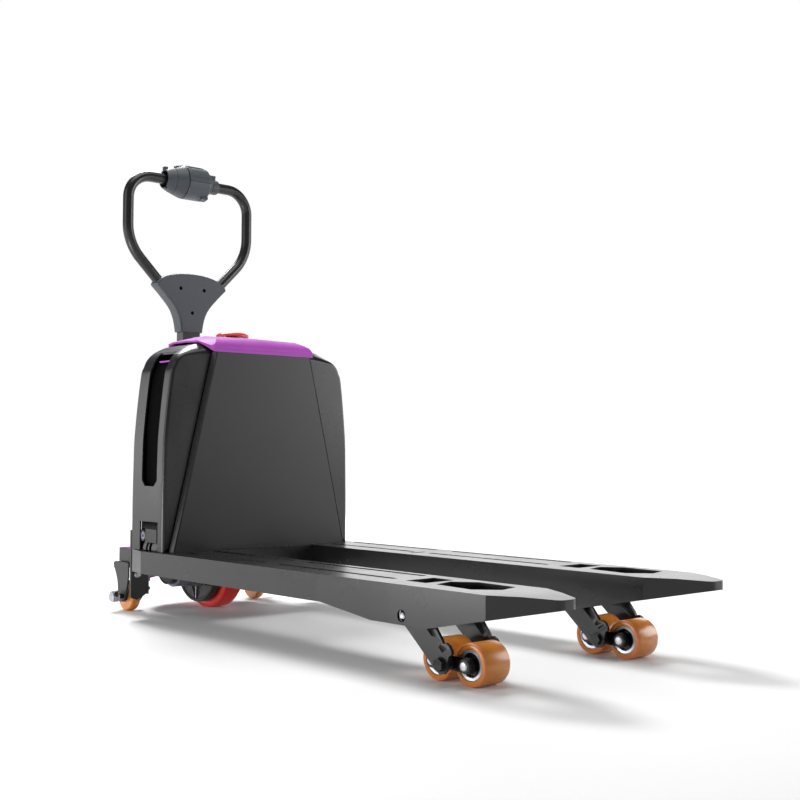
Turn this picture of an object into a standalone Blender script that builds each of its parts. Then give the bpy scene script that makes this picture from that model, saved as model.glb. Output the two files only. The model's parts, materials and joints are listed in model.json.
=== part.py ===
"""Electric pallet truck, 560 mm wide over the forks, built from separate sub-parts.

Metres, +Z up, floor at z = 0. +X runs along the forks to their tips, +Y is the operator's
left when standing at the tiller and looking to the fork tips. The forks are raised.
"""

import math

import bmesh
import bpy
from mathutils import Matrix, Vector

# ---------------------------------------------------------------- driving dimensions
GAP = 0.0003                 # clearance between pieces that touch
SIDES = (("left", 1), ("right", -1))

FORK_TOP = 0.163             # raised height of the fork's load face
HEEL_TOP = 0.1625            # the forks are stepped down where the casing stands on them
FORK_MIDDLE = 0.206          # fork centreline from the truck's centreline
FORK_HALF = 0.074            # half of the fork's width
FORK_PLATE = 0.005
HEEL_X = -0.442              # the outer side tapers in behind this
FORK_REAR_X = -0.510
BEND_X = 0.636               # the tip's taper starts
TIP_X = 0.746
NOSE_HALF = 0.026
NOSE_CORNER = 0.018
FOLD_X = 0.690               # the top plate dips from here to the tip
STEP_X = -0.358
HEEL_FRONT_X = -0.344        # front face of the member between the forks

CASING_FRONT_X = -0.3745
CASING_REAR_X = -0.510
CASING_WALL = 0.004
CASING_SLOPE_X = -0.400      # behind this the shoulders have their full height
CASING_OUTLINE = (           # half width, height at the front, rise of the shoulder; bottom to top
    (0.265, HEEL_TOP + GAP, 0), (0.265, 0.266, 0), (0.263, 0.392, 0), (0.260, 0.443, 0),
    (0.2535, 0.510, 0), (0.246, 0.567, 0), (0.240, 0.583, 0), (0.232, 0.599, 0.001),
    (0.216, 0.611, 0.005), (0.190, 0.616, 0.014), (0.166, 0.619, 0.018), (0.141, 0.622, 0.021),
    (0.129, 0.622, 0),
)
PANEL_FRONT_X = -0.3615
HOOD_SECTIONS = (            # x, half width, lower edge, rim height, half width and height of the top
    (PANEL_FRONT_X, 0.1430, 0.6186, 0.6290, 0.1390, 0.6335),
    (-0.3660, 0.1455, 0.6215, 0.6325, 0.1350, 0.6410),
    (-0.3800, 0.1530, 0.6305, 0.6375, 0.1270, 0.6490),
    (-0.4000, 0.1620, 0.6410, 0.6450, 0.1180, 0.6565),
    (-0.4500, 0.1660, 0.6430, 0.6470, 0.1110, 0.6620),
    (-0.5050, 0.1660, 0.6430, 0.6470, 0.1090, 0.6620),
    (-0.5340, 0.1600, 0.6400, 0.6450, 0.1060, 0.6570),
    (-0.5445, 0.1520, 0.6360, 0.6400, 0.1000, 0.6440),
)
HOOD_CROWN = 0.002
STOP_X = -0.500              # emergency stop's axis

ARM_PIVOT = (0.4365, 0.1095)     # x, z of the load arm's pin
BOGIE_PIVOT = (0.5183, 0.0367)
ROLLER_RADIUS = 0.0367
ROLLER_HALF = 0.0305
ROLLER_MIDDLE = 0.2055           # roller's middle from the centreline
AXLE_SPACING = 0.0395            # bogie pivot to each roller axle
LEVER = 0.027                    # arm pin to push rod eye
LEVER_LEAN = math.radians(22.8)

STEER_X = -0.594                 # steering axis
DRIVE_RADIUS = 0.105
SKIRT_RADIUS = 0.150
FRAME_X = (-0.520, -0.514)       # rear frame plate

CASTOR_X = -0.667
CASTOR_Y = 0.185
CASTOR_RADIUS = 0.0365
CASTOR_AXLE_X = -0.661

TILLER_X = -0.703
TILLER_PIVOT_Z = 0.360
TUBE_RADIUS = 0.0135
LOOP_HALF = 0.1785
LOOP_TOP_Z = 1.086
LOOP_CORNER = 0.0615
LOOP_LEG_Z = 0.960               # the sides start to turn in below this
LOOP_LEG_RADIUS = 0.120
LOOP_FOOT_Y = 0.0155
LOOP_FOOT_Z = 0.7153
HEAD_RADIUS = 0.043


# ---------------------------------------------------------------- scene and materials
for leftover in list(bpy.data.objects):
    bpy.data.objects.remove(leftover, do_unlink=True)

PARTS = bpy.data.collections.new("electric_pallet_truck")
bpy.context.scene.collection.children.link(PARTS)


def make_material(name, colour, roughness, metallic):
    material = bpy.data.materials.new(name)
    material.use_nodes = True
    shader = material.node_tree.nodes["Principled BSDF"]
    shader.inputs["Base Color"].default_value = (*colour, 1.0)
    shader.inputs["Roughness"].default_value = roughness
    shader.inputs["Metallic"].default_value = metallic
    return material


BLACK_COAT = make_material("black_powder_coat", (0.012, 0.012, 0.013), 0.38, 0.0)
BLACK_STEEL = make_material("blackened_steel", (0.02, 0.02, 0.022), 0.42, 0.6)
PURPLE = make_material("purple_plastic", (0.33, 0.05, 0.42), 0.35, 0.0)
GREY = make_material("blue_grey_plastic", (0.11, 0.13, 0.15), 0.48, 0.0)
RED = make_material("red_plastic", (0.62, 0.03, 0.02), 0.35, 0.0)
ORANGE = make_material("orange_polyurethane", (0.62, 0.22, 0.035), 0.35, 0.0)
RED_TYRE = make_material("red_polyurethane", (0.55, 0.012, 0.012), 0.4, 0.0)
ZINC = make_material("zinc_plate", (0.62, 0.63, 0.66), 0.28, 1.0)
ALUMINIUM = make_material("cast_aluminium", (0.45, 0.47, 0.52), 0.42, 0.9)
BATTERY = make_material("battery_case", (0.05, 0.055, 0.06), 0.5, 0.0)


# ---------------------------------------------------------------- shape tools
AXIS_TURN = {
    "X": Matrix.Rotation(math.radians(90), 4, "Y"),
    "Y": Matrix.Rotation(math.radians(-90), 4, "X"),
    "Z": Matrix.Identity(4),
}
# an outline's first and second value run along these world axes
PLANE_TURN = {
    "X": Matrix(((0, 0, 1, 0), (1, 0, 0, 0), (0, 1, 0, 0), (0, 0, 0, 1))),
    "Y": Matrix.Rotation(math.radians(90), 4, "X"),
    "Z": Matrix.Identity(4),
}


def link(piece):
    PARTS.objects.link(piece)
    return piece


def from_bmesh(name, shape):
    mesh = bpy.data.meshes.new(name)
    bmesh.ops.recalc_face_normals(shape, faces=shape.faces)
    shape.to_mesh(mesh)
    shape.free()
    return link(bpy.data.objects.new(name, mesh))


def box(name, low, high):
    """A box between two corners."""
    low = Vector(low)
    high = Vector(high)
    shape = bmesh.new()
    bmesh.ops.create_cube(shape, size=1.0)
    bmesh.ops.scale(shape, vec=high - low, verts=shape.verts)
    bmesh.ops.translate(shape, vec=(high + low) / 2, verts=shape.verts)
    return from_bmesh(name, shape)


def side_box(name, side, x_range, y_range, z_range):
    """A box whose y_range is measured outwards from the centreline, on one side."""
    edges = sorted(side * y for y in y_range)
    return box(name, (x_range[0], edges[0], z_range[0]), (x_range[1], edges[1], z_range[1]))


def rod(name, centre, axis, radius, length, sides=24):
    """A round bar along a world axis."""
    shape = bmesh.new()
    bmesh.ops.create_cone(shape, cap_ends=True, segments=sides, radius1=radius, radius2=radius,
                          depth=length)
    place = Matrix.Translation(centre) @ AXIS_TURN[axis]
    bmesh.ops.transform(shape, matrix=place, verts=shape.verts)
    return from_bmesh(name, shape)


def apply_modifiers(piece):
    bpy.context.view_layer.update()
    graph = bpy.context.evaluated_depsgraph_get()
    mesh = bpy.data.meshes.new_from_object(piece.evaluated_get(graph))
    piece.modifiers.clear()
    piece.data = mesh
    return piece


def turned(name, centre, axis, profile, closed=False, steps=32):
    """A profile of (radius, height) points, top to bottom on the outer side, turned round an axis."""
    shape = bmesh.new()
    corners = [shape.verts.new((radius, 0, height)) for radius, height in profile]
    for first, second in zip(corners, corners[1:]):
        shape.edges.new((first, second))
    if closed:
        shape.edges.new((corners[-1], corners[0]))
    mesh = bpy.data.meshes.new(name)
    shape.to_mesh(mesh)
    shape.free()
    piece = link(bpy.data.objects.new(name, mesh))
    screw = piece.modifiers.new("turn", "SCREW")
    screw.axis = "Z"
    screw.steps = steps
    screw.render_steps = steps
    screw.use_merge_vertices = True
    screw.merge_threshold = 0.00002
    apply_modifiers(piece)
    piece.data.transform(Matrix.Translation(centre) @ AXIS_TURN[axis])
    return piece


def ring(name, centre, axis, inner, outer, length, steps=32):
    half = length / 2
    profile = ((outer, half), (outer, -half), (inner, -half), (inner, half))
    return turned(name, centre, axis, profile, closed=True, steps=steps)


def mesh_from_curve(curve_object, place):
    bpy.context.view_layer.update()
    graph = bpy.context.evaluated_depsgraph_get()
    mesh = bpy.data.meshes.new_from_object(curve_object.evaluated_get(graph))
    name = curve_object.name
    bpy.data.objects.remove(curve_object, do_unlink=True)
    shape = bmesh.new()
    shape.from_mesh(mesh)
    bmesh.ops.remove_doubles(shape, verts=shape.verts, dist=0.00001)
    bmesh.ops.transform(shape, matrix=place, verts=shape.verts)
    return from_bmesh(name, shape)


def plate(name, axis, low, high, outline, holes=()):
    """A flat outline with holes, as thick as from low to high along a world axis."""
    curve = bpy.data.curves.new(name, "CURVE")
    curve.dimensions = "2D"
    curve.fill_mode = "BOTH"
    curve.extrude = (high - low) / 2
    for loop in (outline, *holes):
        spline = curve.splines.new("POLY")
        spline.points.add(len(loop) - 1)
        for spot, (across, up) in zip(spline.points, loop):
            spot.co = (across, up, 0, 1)
        spline.use_cyclic_u = True
    offset = Vector((0, 0, 0))
    offset["XYZ".index(axis)] = (low + high) / 2
    piece = link(bpy.data.objects.new(name, curve))
    return mesh_from_curve(piece, Matrix.Translation(offset) @ PLANE_TURN[axis])


def loft(name, sections):
    """A closed body through outlines of equal length, each given as x and its (y, z) points."""
    shape = bmesh.new()
    loops = []
    for x, outline in sections:
        loops.append([shape.verts.new((x, y, z)) for y, z in outline])
    for first, second in zip(loops, loops[1:]):
        for index, vert in enumerate(first):
            following = (index + 1) % len(first)
            shape.faces.new((vert, first[following], second[following], second[index]))
    shape.faces.new(loops[0])
    shape.faces.new(list(reversed(loops[-1])))
    return from_bmesh(name, shape)


def tube(name, points, radius, bevel_resolution=3):
    """A round tube with closed ends through the points."""
    curve = bpy.data.curves.new(name, "CURVE")
    curve.dimensions = "3D"
    curve.bevel_depth = radius
    curve.bevel_resolution = bevel_resolution
    curve.use_fill_caps = True
    spline = curve.splines.new("POLY")
    spline.points.add(len(points) - 1)
    for spot, point in zip(spline.points, points):
        spot.co = (*point, 1)
    piece = link(bpy.data.objects.new(name, curve))
    return mesh_from_curve(piece, Matrix.Identity(4))


def combine(piece, tools, operation):
    for tool in tools:
        step = piece.modifiers.new("combine", "BOOLEAN")
        step.operation = operation
        step.object = tool
        apply_modifiers(piece)
        bpy.data.objects.remove(tool, do_unlink=True)
    return piece


def cut(piece, *tools):
    return combine(piece, tools, "DIFFERENCE")


def join(piece, *tools):
    return combine(piece, tools, "UNION")


def chamfer(piece, width, angle=40):
    bevel = piece.modifiers.new("chamfer", "BEVEL")
    bevel.width = width
    bevel.segments = 1
    bevel.limit_method = "ANGLE"
    bevel.angle_limit = math.radians(angle)
    return apply_modifiers(piece)


def finish(piece, material, origin=(0, 0, 0)):
    """Gives a finished piece its material and its origin, which is on the joint's axis if it moves."""
    piece.data.materials.clear()
    piece.data.materials.append(material)
    piece.data.transform(Matrix.Translation(-Vector(origin)))
    piece.location = origin
    piece.data.shade_smooth()
    piece.data.set_sharp_from_angle(angle=math.radians(35))
    return piece


def arc(centre, radius, start, end, count):
    """Points on an arc between two angles in degrees, both ends included."""
    points = []
    for step in range(count + 1):
        turn = math.radians(start + (end - start) * step / count)
        points.append((centre[0] + radius * math.cos(turn), centre[1] + radius * math.sin(turn)))
    return points


def mirrored(half):
    """A closed outline from the points of its +Y half."""
    return list(half) + [(-across, up) for across, up in reversed(half) if across > 0.00001]


# ---------------------------------------------------------------- standing frame at the rear
def rear_frame():
    """Upright plate with two guard legs, the castor arms, the lift shelf and the guide rails."""
    arch = arc((0.120, 0.205), 0.020, 90, 0, 3)
    half = [
        (0, 0.515), (0.150, 0.515), (0.150, 0.206), (0.264, 0.206), (0.264, 0.050), (0.247, 0.044),
        (0.224, 0.056), (0.218, 0.062), (0.218, 0.100), (0.140, 0.100),
    ]
    half += list(reversed(arch))
    half.append((0, 0.225))
    frame = plate("rear_frame", "X", *FRAME_X, mirrored(half))
    shelf = box("shelf", (-0.5165, -0.035, 0.243), (-0.4600, 0.035, 0.255))
    additions = [shelf]
    for name, side in SIDES:
        additions.append(side_box("arm", side, (-0.690, -0.5165), (0.156, 0.198), (0.120, 0.152)))
        additions.append(side_box("flange", side, (-0.540, -0.5165), (0.2155, 0.2195), (0.055, 0.097)))
        rail = side_box("rail", side, (-0.5165, -0.4857), (0.118, 0.148), (0.270, 0.440))
        groove = side_box("groove", side, (-0.5107, -0.4887), (0.122, 0.155), (0.265, 0.445))
        additions.append(cut(rail, groove))
    return finish(join(frame, *additions), BLACK_COAT)


def drive_mount_plate():
    outline = [(-0.5203, -0.120)] + [(-0.5203, 0.120)] + arc((STEER_X, 0), 0.120, 90, 270, 16)
    hole = arc((STEER_X, 0), 0.0465, 360, 360 / 24, 23)
    piece = plate("drive_mount_plate", "Z", 0.2623, 0.2723, outline, [hole])
    return finish(piece, BLACK_STEEL)


def steering_bearing():
    piece = ring("steering_bearing", (STEER_X, 0, 0.2489), "Z", 0.0458, 0.072, 0.0262)
    return finish(piece, BLACK_STEEL)


def lift_cylinder():
    profile = ((0, 0.267), (0.0155, 0.267), (0.0155, 0.440), (0.0255, 0.440), (0.0255, 0.2553),
               (0, 0.2553))
    return finish(turned("lift_cylinder", (-0.4855, 0, 0), "Z", profile), BLACK_STEEL)


def skirt_outline(radius, front_x):
    return [(front_x, -radius), (front_x, radius)] + arc((STEER_X, 0), radius, 90, 270, 20)


def rear_cover():
    """Drive cover: a skirt round the steering circle, open below and in front, with a top."""
    wall = 0.0025
    top = 0.298
    front_x = FRAME_X[0] - GAP
    cover = plate("rear_cover", "Z", 0.070, top, skirt_outline(SKIRT_RADIUS, front_x))
    hollow = plate("hollow", "Z", 0.060, top - wall, skirt_outline(SKIRT_RADIUS - wall, front_x + 0.05))
    throat = rod("throat", (STEER_X, 0, top), "Z", 0.050, 0.050)
    front_relief = box("relief", (-0.640, -0.2, 0.05), (-0.5, 0.2, 0.118))
    return finish(cut(cover, hollow, throat, front_relief), PURPLE)


# ---------------------------------------------------------------- lifting carriage
SMALL_WINDOW = ((0.394, -0.026), (0.446, -0.026), (0.446, 0.044), (0.394, 0.044))
ROLLER_WINDOW = (
    (0.472, -0.026), (0.566, -0.036), (0.604, 0.000), (0.590, 0.048), (0.497, 0.053), (0.458, 0.022),
)


def fork_outline(half_width, shrink):
    """Plan of one fork about its own centreline, shrunk by a wall's thickness."""
    inner = FORK_MIDDLE - half_width
    outer = FORK_MIDDLE + half_width
    corner_x = TIP_X - NOSE_CORNER
    corner_y = NOSE_HALF - NOSE_CORNER
    corner_radius = NOSE_CORNER - shrink
    nose = arc((corner_x, FORK_MIDDLE - corner_y), corner_radius, -63, 0, 5)
    nose += arc((corner_x, FORK_MIDDLE + corner_y), corner_radius, 0, 63, 5)
    rear_x = FORK_REAR_X + shrink
    outline = [(rear_x, inner), (BEND_X, inner)] + nose + [(BEND_X, outer), (HEEL_X, outer)]
    outline.append((rear_x, outer - 0.016))
    return outline


def window(across, side):
    """Turns an outline of (x, offset from the fork's middle) into one for the fork of that side."""
    return [(x, FORK_MIDDLE + side * offset) for x, offset in across]


def fork(name, side):
    """A channel open below: top plate, two flanges and a closed tip, with two windows."""
    solid = plate(name, "Z", 0.090, FORK_TOP, fork_outline(FORK_HALF, 0))
    hollow = plate("hollow", "Z", 0.080, FORK_TOP - FORK_PLATE,
                   fork_outline(FORK_HALF - FORK_PLATE, FORK_PLATE))
    lower_line = [
        (-0.6, 0.112), (0.212, 0.112), (0.355, 0.094), (0.496, 0.094), (BEND_X, 0.122),
        (0.76, 0.147), (0.76, 0.05), (-0.6, 0.05),
    ]
    below = plate("below", "Y", 0.1, 0.3, lower_line)
    heel_step = box("heel_step", (-0.6, 0.1, HEEL_TOP), (STEP_X, 0.3, 0.18))
    dip = plate("dip", "Y", 0.1, 0.3, [(FOLD_X, FORK_TOP), (0.76, 0.1600), (0.76, 0.18), (FOLD_X, 0.18)])
    small_window = plate("window", "Z", 0.15, 0.18, window(SMALL_WINDOW, side))
    roller_window = plate("window", "Z", 0.15, 0.18, window(ROLLER_WINDOW, side))
    pin_hole = rod("pin_hole", (ARM_PIVOT[0], FORK_MIDDLE, ARM_PIVOT[1]), "Y", 0.0105, 0.2)
    cut(solid, hollow, below, heel_step, dip, small_window, roller_window, pin_hole)
    if side < 0:
        flip(solid)
    return finish(solid, BLACK_COAT)


def flip(piece):
    """Mirrors a piece to the other side of the centreline."""
    piece.data.transform(Matrix.Scale(-1, 4, (0, 1, 0)))
    piece.data.flip_normals()


def heel_cross_member():
    half = FORK_MIDDLE - FORK_HALF - GAP
    piece = box("heel_cross_member", (-0.4545, -half, 0.112), (HEEL_FRONT_X, half, HEEL_TOP))
    hollow = box("hollow", (-0.4495, -half + 0.005, 0.10), (HEEL_FRONT_X - 0.005, half - 0.005, 0.158))
    return finish(cut(piece, hollow), BLACK_COAT)


def casing_outline(wall, risen):
    """Closed outline inset by a wall's thickness, with its shoulders raised or not."""
    half = []
    for across, up, rise in CASING_OUTLINE:
        inset = wall if up > 0.5 else 0
        half.append((across - wall, up - inset + (rise if risen else 0)))
    return mirrored([(0, half[-1][1])] + list(reversed(half)))


def casing():
    """One sheet shell: front wall, sides and top, open at the back and below."""
    shell = loft("casing", [
        (CASING_FRONT_X, casing_outline(0, False)),
        (CASING_SLOPE_X, casing_outline(0, True)),
        (CASING_REAR_X, casing_outline(0, True)),
    ])
    below = 0.02
    flat = [(y, z if z > 0.2 else z - below) for y, z in casing_outline(CASING_WALL, False)]
    risen = [(y, z if z > 0.2 else z - below) for y, z in casing_outline(CASING_WALL, True)]
    cut(shell, loft("inner", [
        (CASING_FRONT_X - CASING_WALL, flat),
        (CASING_SLOPE_X - CASING_WALL / 2, risen),
        (CASING_REAR_X - 0.02, risen),
    ]))
    slot_outline = [
        (-0.470, 0.3225), (-0.457, 0.3095), (-0.417, 0.3095), (-0.404, 0.3225), (-0.404, 0.640),
        (-0.470, 0.640),
    ]
    for name, side in SIDES:
        low, high = sorted((side * 0.215, side * 0.300))
        cut(shell, plate("slot", "Y", low, high, slot_outline))
        cut(shell, side_box("recess", side, (-0.475, -0.397), (0.240, 0.300), (0.10, 0.229)))
    return finish(shell, BLACK_COAT)


def rear_panel():
    """Sheet that closes the casing's back, with a doorway for the standing frame."""
    half = [(across, up) for across, up in casing_outline(CASING_WALL + GAP, True) if across > -0.0001]
    for ledge in (1, 2):
        half[ledge] = (half[ledge][0] + 0.0012, half[ledge][1] - GAP)
    lower_corner = half[-1][0]
    half = half[:-1] + [(lower_corner, 0.240), (0.1525, 0.240), (0.1525, 0.530), (0, 0.530)]
    return finish(plate("rear_panel", "X", -0.5096, -0.5066, mirrored(half)), BLACK_COAT)


def front_panel():
    """Raised trapezoid on the casing's front, with sloping edges."""
    shape = bmesh.new()
    bmesh.ops.create_cube(shape, size=2.0)
    slope = 0.009
    for vert in shape.verts:
        front = vert.co.x > 0
        top = vert.co.z > 0
        across = (0.140 if top else 0.249) - (slope if front else 0)
        height = 0.6182 if top else HEEL_TOP + GAP
        depth = PANEL_FRONT_X if front else CASING_FRONT_X + GAP
        vert.co = (depth, math.copysign(across, vert.co.y), height)
    return finish(from_bmesh("front_panel", shape), BLACK_COAT)


def hood_outline(section, inset, drop):
    """Cross-section of the hood as (y, z) points, inset for its inside."""
    half_width, lower, rim, top_half, top = section
    half = [
        (0, top + HOOD_CROWN - inset), (top_half - inset / 2, top - inset), (half_width - inset, rim - inset),
        (half_width - inset, lower - drop),
    ]
    return mirrored(half)


def hood():
    """Thin crowned cover that flares backwards over the shoulders, with a skirt behind the casing."""
    wall = 0.0035
    body = loft("hood", [(x, hood_outline(section, 0, 0)) for x, *section in HOOD_SECTIONS])
    skirt = box("skirt", (-0.5450, -0.1500, 0.602), (CASING_REAR_X - GAP, 0.1500, 0.640))
    join(body, skirt)
    inner = [(x - 0.005 if x > -0.40 else x, hood_outline(section, wall, 0.06))
             for x, *section in HOOD_SECTIONS[:-1]]
    skirt_hollow = box("hollow", (-0.5405, -0.1460, 0.59), (-0.5000, 0.1460, 0.6405))
    stem_hole = rod("stem_hole", (STOP_X, 0, 0.66), "Z", 0.0165, 0.04)
    cut(body, loft("inner", inner), skirt_hollow, stem_hole)
    return finish(body, PURPLE)


def emergency_stop():
    profile = ((0, 0.679), (0.034, 0.679), (0.040, 0.675), (0.040, 0.6685), (0.0150, 0.6685),
               (0.0150, 0.642), (0, 0.642))
    piece = turned("emergency_stop", (STOP_X, 0, 0), "Z", profile, steps=28)
    return finish(piece, RED, (STOP_X, 0, 0.6685))


def carriage_frame():
    """Crosshead on two posts that stand on the forks, with the tray for battery and pump."""
    frame = box("carriage_frame", (-0.506, -0.200, 0.5603), (-0.456, 0.200, 0.572))
    additions = []
    for name, side in SIDES:
        post = side_box("post", side, (-0.506, -0.456), (0.185, 0.195), (HEEL_TOP + GAP, 0.5653))
        additions.append(post)
        additions.append(side_box("wing", side, (-0.506, -0.450), (0.187, 0.2585), (0.254, 0.2597)))
    additions.append(box("tray", (-0.452, -0.2585, 0.254), (-0.3790, 0.2585, 0.2597)))
    return finish(join(frame, *additions), BLACK_STEEL)


def piston_rod():
    return finish(rod("piston_rod", (-0.4855, 0, 0.460), "Z", 0.014, 0.200), ZINC)


def battery_pack():
    piece = box("battery_pack", (-0.4515, -0.182, 0.260), (-0.386, 0.182, 0.500))
    return finish(chamfer(piece, 0.004), BATTERY)


def motor_controller():
    piece = box("motor_controller", (-0.440, -0.110, 0.512), (-0.3788, 0.110, 0.552))
    return finish(chamfer(piece, 0.003), ALUMINIUM)


def hydraulic_power_pack():
    """Pump motor on its valve block, with the oil tank over it."""
    block = box("hydraulic_power_pack", (-0.452, 0.200, 0.260), (-0.388, 0.252, 0.310))
    motor = rod("motor", (-0.420, 0.226, 0.350), "Z", 0.025, 0.090)
    tank = box("tank", (-0.446, 0.202, 0.390), (-0.394, 0.250, 0.470))
    return finish(join(block, motor, tank), BLACK_STEEL)


def guide_roller(name, side):
    centre = (-0.4997, side * 0.1549, 0.400)
    piece = rod(name, centre, "Y", 0.006, 0.0596, 16)
    wheel = rod("wheel", (-0.4997, side * 0.1350, 0.400), "Y", 0.0107, 0.0200, 20)
    return finish(join(piece, wheel), ZINC)


def side_latch(name, side):
    """Backing plate in the casing's lower opening, with a pin head and a block on it."""
    plate_piece = side_box(name, side, (-0.490, -0.385), (0.248, 0.252), (HEEL_TOP + GAP, 0.236))
    head = rod("head", (-0.465, side * 0.2555, 0.196), "Y", 0.0125, 0.010)
    block = side_box("block", side, (-0.452, -0.404), (0.250, 0.2635), (0.182, 0.212))
    return finish(join(plate_piece, head, block), BLACK_STEEL)


def arm_pivot_pin(name, side):
    centre = (ARM_PIVOT[0], side * FORK_MIDDLE, ARM_PIVOT[1])
    return finish(rod(name, centre, "Y", 0.006, 0.145, 20), ZINC, centre)


# ---------------------------------------------------------------- load wheels under the fork tips
def capsule(start, end, radius_start, radius_end, count=6):
    """Outline round two circles, as a bone-shaped link's plate has."""
    run = math.degrees(math.atan2(end[1] - start[1], end[0] - start[0]))
    far_end = arc(end, radius_end, run - 90, run + 90, count)
    return far_end + arc(start, radius_start, run + 90, run + 270, count)


def load_arm(name, side):
    """Two swinging plates, their cross bar, the stub bolts of the bogie and the push rod's lever."""
    outline = capsule(ARM_PIVOT, BOGIE_PIVOT, 0.019, 0.0165)
    hole = arc(ARM_PIVOT, 0.0063, 360, 30, 11)
    offsets = ((-0.0595, -0.0535), (0.0535, 0.0595))
    plates = []
    for low, high in offsets:
        plates.append(plate(name, "Y", ROLLER_MIDDLE + low, ROLLER_MIDDLE + high, outline, [hole]))
    arm = plates[0]
    additions = [plates[1]]
    bar = (ARM_PIVOT[0] + 0.0163, ARM_PIVOT[1] - 0.0152)
    additions.append(rod("bar", (bar[0], ROLLER_MIDDLE, bar[1]), "Y", 0.008, 0.110, 16))
    for inward, outward in ((-0.0655, -0.0380), (0.0380, 0.0655)):
        middle = ROLLER_MIDDLE + (inward + outward) / 2
        stub = rod("stub", (BOGIE_PIVOT[0], middle, BOGIE_PIVOT[1]), "Y", 0.007, outward - inward, 16)
        additions.append(stub)
    head = rod("head", (BOGIE_PIVOT[0], ROLLER_MIDDLE + 0.0640, BOGIE_PIVOT[1]), "Y", 0.0115, 0.009, 6)
    additions.append(head)
    eye = (ARM_PIVOT[0] + LEVER * math.sin(LEVER_LEAN), ARM_PIVOT[1] + LEVER * math.cos(LEVER_LEAN))
    lever = capsule((ARM_PIVOT[0] + 0.003, ARM_PIVOT[1] + 0.014), eye, 0.008, 0.008, 6)
    additions.append(plate("lever", "Y", ROLLER_MIDDLE - 0.0595, ROLLER_MIDDLE - 0.0535, lever))
    additions.append(rod("lever_pin", (eye[0], 0.1605, eye[1]), "Y", 0.0055, 0.019, 16))
    join(arm, *additions)
    if side < 0:
        flip(arm)
    return finish(arm, BLACK_STEEL, (ARM_PIVOT[0], side * FORK_MIDDLE, ARM_PIVOT[1]))


def push_rod(name, side):
    """Flat bar from the heel to the load arm's lever, with an eye round the lever's pin."""
    eye = (ARM_PIVOT[0] + LEVER * math.sin(LEVER_LEAN), ARM_PIVOT[1] + LEVER * math.cos(LEVER_LEAN))
    rear = (-0.440, eye[1])
    bar = capsule(rear, (eye[0] - 0.010, eye[1]), 0.008, 0.008, 6)
    hole = arc(eye, 0.0080, 360, 30, 11)
    piece = plate(name, "Y", 0.158, 0.166, bar)
    join(piece, plate("eye", "Y", 0.158, 0.166, arc(eye, 0.0135, 0, 342, 19)))
    cut(piece, plate("bore", "Y", 0.150, 0.175, hole))
    if side < 0:
        flip(piece)
    return finish(piece, BLACK_STEEL, (eye[0], side * 0.162, eye[1]))


def bogie(name, side):
    """Two bone-shaped plates joined by the two roller axles; each plate turns on a stub bolt."""
    axles = [(BOGIE_PIVOT[0] + step * AXLE_SPACING, BOGIE_PIVOT[1]) for step in (-1, 1)]
    outline = capsule(axles[0], axles[1], 0.0135, 0.0135)
    hole = arc(BOGIE_PIVOT, 0.0073, 360, 30, 11)
    plates = []
    for low, high in ((-0.0365, -0.0315), (0.0315, 0.0365)):
        plates.append(plate(name, "Y", ROLLER_MIDDLE + low, ROLLER_MIDDLE + high, outline, [hole]))
    pins = []
    for x, z in axles:
        pins.append(rod("axle", (x, ROLLER_MIDDLE, z), "Y", 0.008, 0.0944, 16))
    join(plates[0], plates[1], *pins)
    if side < 0:
        flip(plates[0])
    return finish(plates[0], BLACK_STEEL, (BOGIE_PIVOT[0], side * ROLLER_MIDDLE, BOGIE_PIVOT[1]))


def load_roller(name, side, step):
    """Bearing hub and bonded tread of one roller."""
    centre = (BOGIE_PIVOT[0] + step * AXLE_SPACING, side * ROLLER_MIDDLE, BOGIE_PIVOT[1])
    half = ROLLER_HALF
    hub_radius = 0.0260
    hub = ring("load_roller_hub_" + name, centre, "Y", 0.0083, hub_radius, 2 * half - 0.002, 24)
    tread = [
        (ROLLER_RADIUS - 0.003, half), (ROLLER_RADIUS, half - 0.003), (ROLLER_RADIUS, 0.003 - half),
        (ROLLER_RADIUS - 0.003, -half), (hub_radius + GAP, -half), (hub_radius + GAP, half),
    ]
    tyre = turned("load_roller_tyre_" + name, centre, "Y", tread, closed=True, steps=24)
    finish(hub, ZINC, centre)
    finish(tyre, ORANGE, centre)


# ---------------------------------------------------------------- drive unit and drive wheel
def steering_head():
    """Turning head: spigot through the bearing, top disc and the leg that carries the gearbox."""
    profile = (
        (0, 0.312), (0.045, 0.312), (0.045, 0.2355), (0.070, 0.2355), (0.070, 0.2215), (0, 0.2215),
    )
    head = turned("steering_head", (STEER_X, 0, 0), "Z", profile)
    leg = box("leg", (STEER_X - 0.045, -0.050, 0.075), (STEER_X + 0.045, -0.0405, 0.2285))
    return finish(join(head, leg), BLACK_STEEL, (STEER_X, 0, 0.2355))


def gear_housing():
    profile = (
        (0, -0.0160), (0.088, -0.0160), (0.090, -0.0180), (0.090, -0.0385), (0.088, -0.0402), (0, -0.0402),
    )
    piece = turned("gear_housing", (STEER_X, 0, DRIVE_RADIUS), "Y", profile, steps=28)
    return finish(piece, ALUMINIUM, (STEER_X, -0.028, DRIVE_RADIUS))


def drive_motor():
    profile = (
        (0, -0.0503), (0.048, -0.0503), (0.048, -0.1090), (0.041, -0.1120), (0.041, -0.1235),
        (0.034, -0.1260), (0, -0.1260),
    )
    piece = turned("drive_motor", (STEER_X, 0, DRIVE_RADIUS), "Y", profile, steps=24)
    return finish(piece, ALUMINIUM, (STEER_X, -0.088, DRIVE_RADIUS))


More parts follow.
